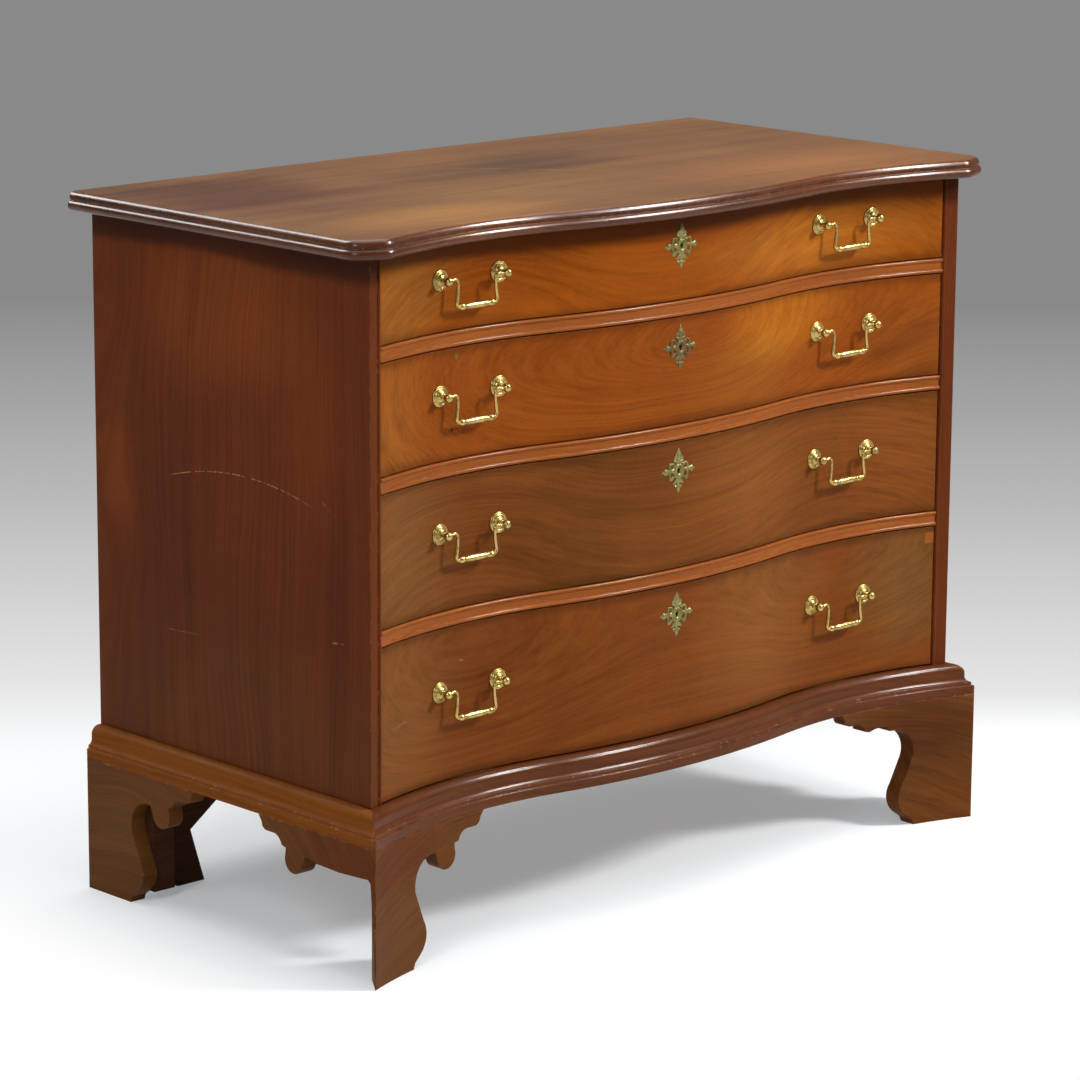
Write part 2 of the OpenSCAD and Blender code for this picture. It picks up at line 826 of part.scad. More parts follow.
module drawer_escutcheon(n) {
  z = key_z(n) - plate_h;
  color(old_brass) place() intersection() {
    front_slab(-lock_d, lock_d) escutcheon_outline(n);
    translate([0, 0, z]) linear_extrude(2 * plate_h) at_bow() difference() {
      circle(r = bow_r + plate_t, $fn = line_fn);
      circle(r = bow_r, $fn = line_fn);
    }
  }
}

// The hinge line of both bails of a drawer, in front of the middle of a handle
bail_y = front_y(handle_x) - handle_out;
neck_r = 2.8;
nut_r = 5;
nut_t = 4;

// A post for a bail: a ball on a neck and a rosette, with its shank through the drawer front and a nut
module post(x) {
  face = front_y(x);
  back = front_y(x, -front_t);
  slope = asin((x - hollow_x) / hollow_r);
  inward = sign(handle_x - x);
  bore_in = pin_in + 0.6;
  difference() {
    union() {
      intersection() {
        translate([x, face, 0]) rotate([0, 0, -slope]) rotate([90, 0, 0]) rosette();
        at_hollow() translate([0, 0, -far]) cylinder(r = hollow_r, h = 2 * far, $fn = line_fn);
      }
      translate([x, bail_y, 0]) rotate([0, 0, -90]) sphere(r = ball_r, $fn = round_fn);
      translate([x, face, 0]) rotate([90, 0, 0]) cylinder(r = neck_r, h = face - bail_y, $fn = round_fn);
      translate([x, back + nut_t + cut, 0]) rotate([90, 0, 0])
        cylinder(r = shank_r, h = back - face + nut_t + 2 * cut, $fn = round_fn);
    }
    translate([x - inward * bore_in, bail_y, 0]) rotate([0, 90 * inward, 0])
      cylinder(r = pin_r + fit_gap, h = ball_r + bore_in, $fn = round_fn);
  }
  difference() {
    translate([x, back + nut_t, 0]) rotate([90, 0, 0]) difference() {
      cylinder(r = nut_r, h = nut_t + cut, $fn = 6);
      translate([0, 0, -cut]) cylinder(r = shank_r + fit_gap, h = nut_t + 3 * cut, $fn = round_fn);
    }
    at_hollow() translate([0, 0, -far]) cylinder(r = hollow_r + front_t, h = 2 * far, $fn = line_fn);
  }
}

// A rosette: a flat rim, a raised ring and a dome, turned about its own axis
module rosette() {
  rim_t = 2;
  ring_r = 0.72 * rosette_r;
  dome_h = rim_t + 4;
  rotate_extrude($fn = round_fn) {
    translate([0, -cut]) square([rosette_r - rim_t / 2, rim_t + cut]);
    translate([rosette_r - rim_t / 2, rim_t / 2]) circle(r = rim_t / 2, $fn = 24);
    square([ring_r, rim_t + 1]);
    intersection() {
      translate([0, dome_h - ring_r]) circle(r = ring_r, $fn = round_fn);
      square([ring_r, dome_h]);
    }
  }
}

module drawer_posts(n) {
  color(brass) place() translate([0, 0, handle_z(n)]) both_sides() for (x = post_x) post(x);
}

// The bends of a bail's arm in X and Z, from its pin to its grip: a hump, a shoulder, a long flare, a corner
function dir(a) = [cos(a), sin(a)];
start_gap = 0.3;
grip_lap = 1;
hump_r = 6;
hump_turn = 25;
shoulder_r = 5;
flare_turn = 12;
corner_r = 4.5;
arm_swell = 0.4;
arm_sides = 12;
bend_step = 20;
pin_x = handle_w / 2 - ball_r - start_gap;
pin_in = 2;
hump_c = [pin_x - wire_r, hump_r];
shoulder_c = hump_c + (hump_r + shoulder_r) * dir(270 - hump_turn);
flare_r = (shoulder_c.y + bail_drop - corner_r) / sin(flare_turn) - corner_r;
flare_c = shoulder_c + [flare_r - shoulder_r, 0];
corner_c = flare_c + (flare_r + corner_r) * dir(180 + flare_turn);

// The stations of a bend about a centre: each is a point in X and Z with the angle of the way on from it
function bend(centre, r, from, to) = [
  let (steps = ceil(abs(to - from) / bend_step))
  for (i = [1 : steps]) let (a = from + (to - from) * i / steps) [centre + r * dir(a), a + 90 * sign(to - from)]
];
arm_stations = concat(
  [[[pin_x, 0], 180], [hump_c - [0, hump_r], 180]],
  bend(hump_c, hump_r, 270, 270 - hump_turn),
  bend(shoulder_c, shoulder_r, 90 - hump_turn, 180),
  bend(flare_c, flare_r, 180, 180 + flare_turn),
  bend(corner_c, corner_r, flare_turn, -90),
  [[corner_c - [grip_lap, corner_r], 180]]
);

// A round rod along the stations, which swells towards its end
module rod(stations) {
  last = len(stations) - 1;
  points = [for (i = [0 : last], k = [0 : arm_sides - 1])
    let (p = stations[i][0], out = (wire_r + arm_swell * i / last) * dir(k * 360 / arm_sides))
    [p.x - out.x * sin(stations[i][1]), out.y, p.y + out.x * cos(stations[i][1])]];
  sides = [for (i = [0 : last - 1], k = [0 : arm_sides - 1]) let (next = (k + 1) % arm_sides)
    [i * arm_sides + k, i * arm_sides + next, (i + 1) * arm_sides + next, (i + 1) * arm_sides + k]];
  start = [for (k = [1 : arm_sides]) arm_sides - k];
  end = [for (k = [0 : arm_sides - 1]) last * arm_sides + k];
  polyhedron(points, concat(sides, [start, end]));
}

module bail_half() {
  translate([pin_x - wire_r, 0, 0]) rotate([0, 90, 0])
    cylinder(r = pin_r, h = handle_w / 2 - pin_x + wire_r + pin_in, $fn = round_fn);
  rod(arm_stations);
}

// The grip: a turned bar with a long barrel, and a ring and a ball towards each end
module grip() {
  half = corner_c.x + grip_lap / 2;
  end_r = wire_r + arm_swell + 0.3;
  barrel_r = 45;
  ring_x = 13;
  ring_r = 1.1;
  ball_x = 17.8;
  rotate([0, 90, 0]) rotate_extrude($fn = round_fn) intersection() {
    translate([0, -half]) square([grip_r + cut, 2 * half]);
    union() {
      translate([0, -half]) square([end_r, 2 * half]);
      translate([grip_r - barrel_r, 0]) circle(r = barrel_r, $fn = line_fn);
      for (z = [-1, 1]) {
        translate([grip_r - ring_r - 0.3, z * ring_x]) circle(r = ring_r, $fn = 24);
        translate([0, z * ring_x - ring_r]) square([grip_r - ring_r - 0.3, 2 * ring_r]);
        translate([0, z * ball_x]) circle(r = grip_r - 0.4, $fn = round_fn);
      }
    }
  }
}

module bail(n, side) {
  color(brass) place() translate([side * handle_x, bail_y, handle_z(n)]) {
    both_sides() bail_half();
    translate([0, 0, -bail_drop]) grip();
  }
}

top();
side_left();
side_right();
bottom_board();
back_boards();
divider(1);  // divider_1
divider(2);  // divider_2
divider(3);  // divider_3
top_rails();
drawer_runners();
drawer_stops();
base_moulding_front();
base_moulding_left();
base_moulding_right();
foot_front_left();
foot_front_right();
foot_rear_left();
foot_rear_right();
rear_braces();
glue_blocks();
drawer_front(1);  // drawer_1_front
drawer_sides(1);  // drawer_1_sides
drawer_back(1);  // drawer_1_back
drawer_bottom(1);  // drawer_1_bottom
drawer_lock(1);  // drawer_1_lock
drawer_lock_bolt(1);  // drawer_1_lock_bolt
drawer_escutcheon(1);  // drawer_1_escutcheon
drawer_posts(1);  // drawer_1_posts
bail(1, -1);  // drawer_1_bail_left
bail(1, 1);  // drawer_1_bail_right
drawer_front(2);  // drawer_2_front
drawer_sides(2);  // drawer_2_sides
drawer_back(2);  // drawer_2_back
drawer_bottom(2);  // drawer_2_bottom
drawer_lock(2);  // drawer_2_lock
drawer_lock_bolt(2);  // drawer_2_lock_bolt
drawer_escutcheon(2);  // drawer_2_escutcheon
drawer_posts(2);  // drawer_2_posts
bail(2, -1);  // drawer_2_bail_left
bail(2, 1);  // drawer_2_bail_right
drawer_front(3);  // drawer_3_front
drawer_sides(3);  // drawer_3_sides
drawer_back(3);  // drawer_3_back
drawer_bottom(3);  // drawer_3_bottom
drawer_lock(3);  // drawer_3_lock
drawer_lock_bolt(3);  // drawer_3_lock_bolt
drawer_escutcheon(3);  // drawer_3_escutcheon
drawer_posts(3);  // drawer_3_posts
bail(3, -1);  // drawer_3_bail_left
bail(3, 1);  // drawer_3_bail_right
drawer_front(4);  // drawer_4_front
drawer_sides(4);  // drawer_4_sides
drawer_back(4);  // drawer_4_back
drawer_bottom(4);  // drawer_4_bottom
drawer_lock(4);  // drawer_4_lock
drawer_lock_bolt(4);  // drawer_4_lock_bolt
drawer_escutcheon(4);  // drawer_4_escutcheon
drawer_posts(4);  // drawer_4_posts
bail(4, -1);  // drawer_4_bail_left
bail(4, 1);  // drawer_4_bail_right
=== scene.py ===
import json
import math
from types import SimpleNamespace

import bmesh
import bpy
from mathutils import Matrix, Vector


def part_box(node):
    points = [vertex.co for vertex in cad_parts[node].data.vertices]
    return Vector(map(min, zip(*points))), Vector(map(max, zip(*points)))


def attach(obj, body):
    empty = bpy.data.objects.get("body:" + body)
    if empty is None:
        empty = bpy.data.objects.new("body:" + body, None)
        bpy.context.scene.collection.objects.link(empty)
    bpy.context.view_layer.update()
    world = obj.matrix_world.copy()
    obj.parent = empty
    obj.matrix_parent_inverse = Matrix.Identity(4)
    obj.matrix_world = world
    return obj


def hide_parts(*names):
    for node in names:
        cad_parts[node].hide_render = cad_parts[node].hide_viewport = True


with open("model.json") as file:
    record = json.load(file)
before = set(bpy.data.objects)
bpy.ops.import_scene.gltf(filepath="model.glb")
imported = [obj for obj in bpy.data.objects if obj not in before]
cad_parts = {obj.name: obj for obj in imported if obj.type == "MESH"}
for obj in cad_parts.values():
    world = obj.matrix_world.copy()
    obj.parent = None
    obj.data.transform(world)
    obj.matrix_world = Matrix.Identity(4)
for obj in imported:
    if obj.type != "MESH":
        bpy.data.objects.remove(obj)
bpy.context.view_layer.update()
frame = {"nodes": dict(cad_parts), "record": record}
scene = bpy.context.scene
scene.view_settings.view_transform = "Standard"
nodes = frame["nodes"]
joints = {joint["name"]: joint for joint in frame["record"]["behaviour"]["joints"]}
MM = 0.001

# The serpentine front, in metres: a bow in the middle between two hollows that it runs into
BOW_R = 0.9435
HOLLOW_R = 0.56
HOLLOW_X = 0.2883
CENTRES_APART = BOW_R + HOLLOW_R
FRONT_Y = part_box("drawer_2_front")[0].y
HOLLOW_Y = FRONT_Y + BOW_R - math.sqrt(CENTRES_APART**2 - HOLLOW_X**2)


def front_y(x, out=0.0):
    """Y of the front line at x, with the line moved forwards by out."""
    if abs(x) <= (BOW_R + out) * HOLLOW_X / CENTRES_APART:
        return FRONT_Y + BOW_R - math.sqrt((BOW_R + out) ** 2 - x * x)
    return HOLLOW_Y + math.sqrt((HOLLOW_R - out) ** 2 - (abs(x) - HOLLOW_X) ** 2)


# Camera and lamps
CAMERA_PLACE = Vector((-3.4195, -3.5816, 1.5163))
CAMERA_YAW = math.radians(43.606)
CAMERA_PITCH = math.radians(12.884)
CAMERA_ROLL = math.radians(0.346)
CAMERA_LENS = 143.03
SENSOR = 36.0
FARTHEST_SEEN = 100
CHEST_MIDDLE = (0, 0, 0.45)


def make_camera():
    data = bpy.data.cameras.new("camera")
    data.lens = CAMERA_LENS
    data.sensor_width = SENSOR
    data.clip_end = FARTHEST_SEEN
    camera = bpy.data.objects.new("camera", data)
    turn = Matrix.Rotation(-CAMERA_YAW, 4, "Z")
    tilt = Matrix.Rotation(math.pi / 2 - CAMERA_PITCH, 4, "X")
    roll = Matrix.Rotation(CAMERA_ROLL, 4, "Z")
    camera.matrix_world = Matrix.Translation(CAMERA_PLACE) @ turn @ tilt @ roll
    scene.collection.objects.link(camera)
    scene.camera = camera


def make_lamp(name, place, target, size, watts, shine_only=False):
    """A soft box; one that only shines shows in gloss and lights nothing else."""
    data = bpy.data.lights.new(name, "AREA")
    data.shape = "RECTANGLE"
    data.size, data.size_y = size
    data.energy = watts
    lamp = bpy.data.objects.new(name, data)
    lamp.location = place
    lamp.rotation_euler = (Vector(target) - Vector(place)).to_track_quat("-Z", "Y").to_euler()
    lamp.visible_diffuse = not shine_only
    scene.collection.objects.link(lamp)


def make_lights():
    """A key from the right, a wide overhead, a weak fill and two that only draw highlights."""
    make_lamp("key", (2.3, -2.75, 2.95), CHEST_MIDDLE, (0.8, 0.8), 142)
    make_lamp("overhead", (0.2, 0.3, 3.4), (0, 0, 0), (3.0, 3.0), 80)
    make_lamp("fill", (-3.4, -1.4, 2.9), CHEST_MIDDLE, (1.4, 1.4), 42)
    make_lamp("front_shine", (2.25, -1.65, 3.2), (-0.15, -0.25, 0.5), (0.65, 0.65), 120, shine_only=True)
    make_lamp("side_shine", (-1.2, 2.75, 3.4), (-0.5, 0, 0.8), (1.2, 2.6), 150, shine_only=True)


class Tree:
    """A short way to write a node tree."""

    def __init__(self, tree):
        self.tree = tree

    def node(self, kind, inputs=None, **settings):
        made = self.tree.nodes.new("ShaderNode" + kind)
        for key, value in settings.items():
            setattr(made, key, value)
        for key, value in (inputs or {}).items():
            self.put(value, made.inputs[key])
        return made

    def put(self, value, socket):
        if isinstance(value, bpy.types.NodeSocket):
            self.tree.links.new(value, socket)
        else:
            socket.default_value = value

    def math(self, operation, a, b=0.0):
        return self.node("Math", {0: a, 1: b}, operation=operation).outputs[0]

    def add(self, a, b):
        return self.math("ADD", a, b)

    def times(self, a, b):
        return self.math("MULTIPLY", a, b)

    def within(self, value, low, high):
        """How far a value lies inside a range; negative outside it."""
        return self.math("MINIMUM", self.math("SUBTRACT", value, low), self.math("SUBTRACT", high, value))

    def vector(self, operation, a, b=(0.0, 0.0, 0.0)):
        made = self.node("VectorMath", {0: a, 1: b}, operation=operation)
        return made.outputs["Value" if operation in ("LENGTH", "DOT_PRODUCT") else "Vector"]

    def parts(self, vector):
        return self.node("SeparateXYZ", {0: vector}).outputs

    def join(self, x, y, z):
        return self.node("CombineXYZ", {0: x, 1: y, 2: z}).outputs[0]

    def step(self, value, low, high):
        """0 below low, 1 above high, smooth between them; high may be the lower one."""
        inputs = {"Value": value, "From Min": low, "From Max": high, "To Min": 0.0, "To Max": 1.0}
        return self.node("MapRange", inputs, interpolation_type="SMOOTHSTEP").outputs[0]

    def spread(self, value, low, high, to_low=0.0, to_high=1.0):
        inputs = {"Value": value, "From Min": low, "From Max": high, "To Min": to_low, "To Max": to_high}
        return self.node("MapRange", inputs).outputs[0]

    def swing(self, noise, amount, half=0.2):
        """A noise turned into a value from -amount to amount; half is how far it strays from its middle."""
        return self.spread(noise, 0.5 - half, 0.5 + half, -amount, amount)

    def mix(self, factor, a, b):
        return self.node("MixRGB", {0: factor, 1: a, 2: b}).outputs[0]

    def noise(self, vector, scale=1.0, detail=2.0, roughness=0.5):
        inputs = {"Vector": vector, "Scale": scale, "Detail": detail, "Roughness": roughness}
        return self.node("TexNoise", inputs).outputs[0]

    def line_noise(self, value, detail, roughness):
        inputs = {"W": value, "Scale": 1.0, "Detail": detail, "Roughness": roughness}
        return self.node("TexNoise", inputs, noise_dimensions="1D").outputs[0]

    def ramp(self, factor, stops):
        made = self.node("ValToRGB", {0: factor})
        ramp = made.color_ramp
        while len(ramp.elements) < len(stops):
            ramp.elements.new(0.5)
        for element, (place, color) in zip(ramp.elements, stops):
            element.position = place
            element.color = color
        return made.outputs[0]


def new_material(name):
    material = bpy.data.materials.new(name)
    material.use_nodes = True
    tree = material.node_tree
    tree.nodes.clear()
    return material, Tree(tree)


def finish_material(t, shader):
    t.node("OutputMaterial", {"Surface": shader})


# Colours
def linear(red, green, blue):
    """A colour given as it looks on a screen, 0 to 255, as the shader wants it."""
    parts = [c / 255 for c in (red, green, blue)]
    return (*[c / 12.92 if c <= 0.04045 else ((c + 0.055) / 1.055) ** 2.4 for c in parts], 1.0)


def tinted(color, shares):
    """A colour with a share of its red, green and blue."""
    return (*[c * share for c, share in zip(color, shares)], 1.0)


def darker(color, share):
    return tinted(color, (share, share, share))


WORN_ORANGE = linear(160, 88, 38)
SIDE_RED = linear(102, 48, 19)
TOP_BROWN = linear(120, 78, 40)
BASE_BROWN = linear(96, 50, 20)
BASE_WORN = linear(128, 70, 34)
BASE_SIDE_BROWN = linear(136, 77, 28)
FOOT_BROWN = linear(106, 64, 28)
DIVIDER_BROWN = linear(156, 83, 24)
FRONTS = {1: linear(147, 73, 10), 2: linear(141, 70, 15), 3: linear(121, 67, 24), 4: linear(123, 65, 22)}
OAK = linear(140, 104, 64)
PINE = linear(150, 112, 70)
STAIN = linear(72, 44, 28)
SCRATCH = linear(196, 142, 88)
PALE_CHIP = linear(186, 128, 76)
PATCH = linear(150, 84, 34)
PALE_NAIL = linear(112, 104, 60)
DARK_NAIL = linear(48, 22, 10)
FLOOR_SEEN = linear(234, 236, 237)
FLOOR_BOUNCE = linear(205, 205, 205)
WHITE = (1.0, 1.0, 1.0, 1.0)

# Tones of the floor behind the chest against the distance away from the camera
FLOOR_R = 30.0
BACK_REACH = 4.0
BACK_TONES = [(0.0, 255), (0.055, 248), (0.175, 231), (0.32, 209), (0.49, 185), (0.71, 162), (0.98, 137)]
NEAR_END, FAR_START = 0.25, 0.8
SHADOW_LIFT = 0.24
LIFT_TINT = (0.93, 1.0, 1.06, 1.0)
# The floor that shows the shadow: low and high corners, and the width of its soft edge
SHADOW_LOW, SHADOW_HIGH, SHADOW_SOFT = (-0.72, -0.55), (1.1, 1.2), 0.3


def floor_material():
    """Lit near the chest, to hold its shadow, and of a set tone further off in the camera and in gloss."""
    material, t = new_material("floor")
    place = t.node("TexCoord").outputs["Object"]
    parts = t.parts(place)
    away = t.vector("DOT_PRODUCT", place, (math.sin(CAMERA_YAW), math.cos(CAMERA_YAW), 0))
    tones = [(share, linear(tone, tone, tone)) for share, tone in BACK_TONES]
    shade = t.ramp(t.spread(away, 0.0, BACK_REACH), tones)
    path = t.node("LightPath")
    seen = t.math("MAXIMUM", path.outputs["Is Camera Ray"], path.outputs["Is Glossy Ray"])
    lit = t.node("BsdfDiffuse", {"Color": t.mix(seen, FLOOR_BOUNCE, FLOOR_SEEN)}).outputs[0]
    lift = t.node("Emission", {"Color": LIFT_TINT, "Strength": t.times(seen, SHADOW_LIFT)}).outputs[0]
    near = t.node("AddShader", {0: lit, 1: lift}).outputs[0]
    far = t.node("Emission", {"Color": shade, "Strength": 1.0}).outputs[0]
    across, along = (t.within(parts[axis], SHADOW_LOW[axis], SHADOW_HIGH[axis]) for axis in (0, 1))
    outside = t.step(t.math("MINIMUM", across, along), SHADOW_SOFT, 0.0)
    beyond = t.times(t.math("MAXIMUM", t.step(away, NEAR_END, FAR_START), outside), seen)
    finish_material(t, t.node("MixShader", {0: beyond, 1: near, 2: far}).outputs[0])
    return material


def make_floor():
    """A pale floor that turns grey far behind the chest."""
    bm = bmesh.new()
    bmesh.ops.create_circle(bm, cap_ends=True, radius=FLOOR_R, segments=96)
    floor = place_piece("floor", plain_mesh("floor", bm, floor_material()))


# The room round the chest: what it lights with, and the grey that gloss shows of it
WORLD_LIGHT = 0.3
WORLD_SEEN = 0.16


def make_world():
    world = bpy.data.worlds.new("world")
    world.use_nodes = True
    world.node_tree.nodes.clear()
    t = Tree(world.node_tree)
    glossy = t.node("LightPath").outputs["Is Glossy Ray"]
    strength = t.spread(glossy, 0.0, 1.0, WORLD_LIGHT, WORLD_SEEN)
    background = t.node("Background", {"Color": WHITE, "Strength": strength})
    t.node("OutputWorld", {"Surface": background.outputs[0]})
    scene.world = world


# Wood: which axes run along the grain, over the board's face and into the board
AXES = {"X": (0, 2, 1), "Y": (1, 2, 0), "Z": (2, 0, 1)}
# How often each part of the figure repeats in a metre, along those axes
WANDER_SCALE = (2.2, 6.0, 4.0)
CLOUD_SCALE = (3.2, 6.0, 6.0)
RIPPLE_SCALE = (30.0, 8.0, 8.0)
PORE_SCALE = (70.0, 1500.0, 1500.0)
# The same for the fibres, along the grain, outwards from the pith and over the face
FIBRE_SCALE = (3.0, 420.0, 60.0)
# How far the grain wanders, in metres, and how far a board's seed moves its rings
GRAIN_DRIFT = 0.011
RING_SHIFT = 7.3
FIBRE_TONE, RIPPLE_TONE, CLOUD_TONE = 0.46, 0.07, 0.28
# From the darkest figure to the brightest: its place, and the share of the board's red, green and blue
FIGURE_TONES = [(0.0, (0.5, 0.41, 0.375)), (0.36, (0.85, 0.82, 0.8)), (0.55, (1.0, 1.0, 1.0)),
                (1.0, (1.35, 1.431, 1.458))]
# How dark pores and the darker edge strips (painted shadow under the top among them) are against the board,
# and how much duller or glossier pores and rims are
PORE_SHARE, STRIP_DARK_SHARE = 0.25, 0.22
PORE_DULL, RIM_POLISH = 0.12, 0.14
BORDER_RAGGED = 4.0 * MM
PATCH_SOFT = 0.6 * MM
WOOD_RELIEF = 0.25 * MM
# Each pair is where something starts and where it is full: pores, zones, worn edges, chips and their noises
PORES = (0.58, 0.70)
ZONE_SOFT = (1.3, 0.2)
WORN_TURN, WORN_GRIME = (0.985, 0.86), (0.45, 0.62)
CHIP_TURN, CHIP_SPOTS = (0.99, 0.93), (0.62, 0.68)
RIM_TURN = (0.97, 0.8)
# How often the grit of scratches, the grime and the chips repeat in a metre
GRIT_SCALE = (160.0, 30.0)
GRIME_SCALE, CHIP_SCALE = 60.0, 130.0
CHIP_SHARE = 0.8


def grain_figure(t, parts, along, seed, pith, tilt, lean, rings):
    """Rings round a pith line, fibres, pores, ripple and clouds, each as a value."""
    run, side, deep = (parts[i] for i in AXES[along])
    shifted = t.add(run, seed)

    def stretched(scale, across=side, into=deep):
        return t.join(t.times(shifted, scale[0]), t.times(across, scale[1]), t.times(into, scale[2]))

    drift = t.swing(t.noise(stretched(WANDER_SCALE)), GRAIN_DRIFT)
    across = t.add(t.math("SUBTRACT", side, pith[0]), t.add(drift, t.times(run, tilt)))
    behind = t.add(t.math("SUBTRACT", deep, pith[1]), t.times(run, lean))
    radius = t.math("SQRT", t.add(t.times(across, across), t.times(behind, behind)))
    return SimpleNamespace(
        ring=t.line_noise(t.add(t.times(radius, rings), seed * RING_SHIFT), detail=5.0, roughness=0.66),
        fibre=t.noise(stretched(FIBRE_SCALE, radius, side), detail=4.0, roughness=0.6),
        pore=t.step(t.noise(stretched(PORE_SCALE), detail=1.0), *PORES),
        ripple=t.noise(stretched(RIPPLE_SCALE)),
        cloud=t.noise(stretched(CLOUD_SCALE), detail=3.0, roughness=0.55))


def figure_color(t, figure, base, ring_tone, pores):
    """The colour of clean wood, with dark pores."""
    tone = t.add(t.swing(figure.ring, ring_tone, 0.25), t.swing(figure.fibre, FIBRE_TONE, 0.25))
    tone = t.add(tone, t.swing(figure.ripple, RIPPLE_TONE))
    tone = t.add(tone, t.swing(figure.cloud, CLOUD_TONE))
    stops = [(place, tinted(base, shares)) for place, shares in FIGURE_TONES]
    color = t.ramp(t.spread(tone, -1.0, 1.0), stops)
    return t.mix(t.times(figure.pore, pores), color, darker(base, PORE_SHARE))


def zone(t, place, breakup, color, centre, reach, share):
    """Multiplies a colour by share inside a soft-edged ball stretched by reach."""
    offset = t.vector("SUBTRACT", place, centre)
    scaled = t.vector("MULTIPLY", offset, [1 / r for r in reach])
    inside = t.step(t.add(t.vector("LENGTH", scaled), breakup), *ZONE_SOFT)
    return t.mix(inside, color, t.vector("MULTIPLY", color, share))


def border(t, parts, cloud, color, strip_dark, box, axis, start, reach, share):
    """Darkens a colour along two faces of a box, as painted shadow under the top or a darker edge on a front:
    it starts to fade at start from them and ends at reach.
    """
    ragged = t.add(parts[axis], t.swing(cloud, BORDER_RAGGED))
    past_strip = t.step(t.within(ragged, box[0][axis], box[1][axis]), start, reach)
    return t.mix(t.spread(past_strip, 0.0, 1.0, share, 0.0), color, strip_dark)


def block(t, parts, color, low, high, tint):
    """Lays a let-in patch of another tint over a rectangle of the front."""
    across = t.step(t.within(parts[0], low[0], high[0]), 0.0, PATCH_SOFT)
    upwards = t.step(t.within(parts[2], low[1], high[1]), 0.0, PATCH_SOFT)
    return t.mix(t.times(across, upwards), color, tint)


def scratch(t, parts, color, u_axis, v_axis, middle, half, slope=0.0, bow=0.0, width=0.9 * MM, share=0.8,
            tint=SCRATCH, breaks=(0.38, 0.56)):
    """A broken fine line of half-length half round middle; its v follows a slope and a bow against u."""
    u, v = parts[u_axis], parts[v_axis]
    off = t.math("SUBTRACT", u, middle[0])
    line = t.add(t.times(off, slope), t.times(t.times(off, off), -bow))
    away = t.math("ABSOLUTE", t.math("SUBTRACT", t.math("SUBTRACT", v, middle[1]), line))
    on_line = t.times(t.step(away, width, width * 0.2), t.step(t.math("ABSOLUTE", off), half, half * 0.7))
    grit = t.noise(t.join(t.times(u, GRIT_SCALE[0]), t.times(v, GRIT_SCALE[1]), middle[0]), roughness=0.6)
    return t.mix(t.times(t.times(on_line, t.step(grit, *breaks)), share), color, tint)


def wear(t, place, color, rounded, edge):
    """Lets a paler tint show along worn edges, with small chips."""
    same = t.vector("DOT_PRODUCT", rounded, t.node("NewGeometry").outputs["Normal"])
    grime = t.noise(place, GRIME_SCALE, 3.0, 0.6)
    worn = t.times(t.step(same, *WORN_TURN), t.step(grime, *WORN_GRIME))
    chips = t.step(t.noise(place, CHIP_SCALE), *CHIP_SPOTS)
    chipped = t.times(t.step(same, *CHIP_TURN), t.times(chips, CHIP_SHARE))
    return t.mix(chipped, t.mix(worn, color, edge), PALE_CHIP)


def relief(t, figure, rounded):
    """Fibres, open pores and ripple as a fine bump, laid over the rounded edges."""
    height = t.add(t.times(figure.pore, -0.5), t.times(figure.ripple, 0.9))
    height = t.add(t.times(figure.fibre, 0.5), height)
    bump = t.node("Bump", {"Strength": 0.3, "Distance": WOOD_RELIEF, "Height": height, "Normal": rounded})
    return bump.outputs[0]


def wood(name, base, along="X", seed=0.0, pith=(-0.3, 0.2), tilt=0.0, lean=0.0, rings=60.0, ring_tone=0.32,
         pores=0.3, rough=0.42, gloss=0.05, coat=0.0, coat_rough=0.2, rim=None, edge=None, worn_r=1.4 * MM,
         borders=(), zones=(), scratches=(), blocks=()):
    """A wooden finish whose grain runs along one axis, with its pith off to the side and behind the board.

    tilt turns the grain in the board's face, and lean turns the pith into the board, which draws arches.
    rim is the share of each colour that is left where the surface turns away from upwards."""
    material, t = new_material(name)
    place = t.node("TexCoord").outputs["Object"]
    parts = t.parts(place)
    figure = grain_figure(t, parts, along, seed, pith, tilt, lean, rings)
    color = figure_color(t, figure, base, ring_tone, pores)
    dull = t.spread(figure.cloud, 0.3, 0.7, rough - 0.06, rough + 0.08)
    dull = t.add(dull, t.times(figure.pore, PORE_DULL))
    breakup = t.add(t.swing(figure.cloud, 0.25), t.swing(figure.ring, 0.22))
    for spot in zones:
        color = zone(t, place, breakup, color, *spot)
    if rim is not None:
        upwards = t.parts(t.node("NewGeometry").outputs["Normal"])[2]
        turned = t.step(upwards, *RIM_TURN)
        color = t.mix(turned, color, t.vector("MULTIPLY", color, rim))
        dull = t.math("SUBTRACT", dull, t.times(turned, RIM_POLISH))
    for strip in borders:
        color = border(t, parts, figure.cloud, color, darker(base, STRIP_DARK_SHARE), *strip)
    for patch in blocks:
        color = block(t, parts, color, *patch)
    for mark in scratches:
        color = scratch(t, parts, color, **mark)
    rounded = t.node("Bevel", {"Radius": worn_r}, samples=4).outputs[0]
    if edge is not None:
        color = wear(t, place, color, rounded, edge)
    shader = t.node("BsdfPrincipled", {
        "Base Color": color, "Roughness": dull, "Normal": relief(t, figure, rounded), "Coat Weight": coat,
        "Coat Roughness": coat_rough, "Specular IOR Level": gloss})
    finish_material(t, shader.outputs[0])
    return material


# Metal, with its stains and grain as often as they repeat in a metre
STAIN_SCALE, GRAIN_SCALE = 90.0, 810.0
STAIN_EDGE, PITS = (0.46, 0.62), (0.55, 0.75)
STAIN_DULL = 0.22
METAL_RELIEF = 0.15 * MM


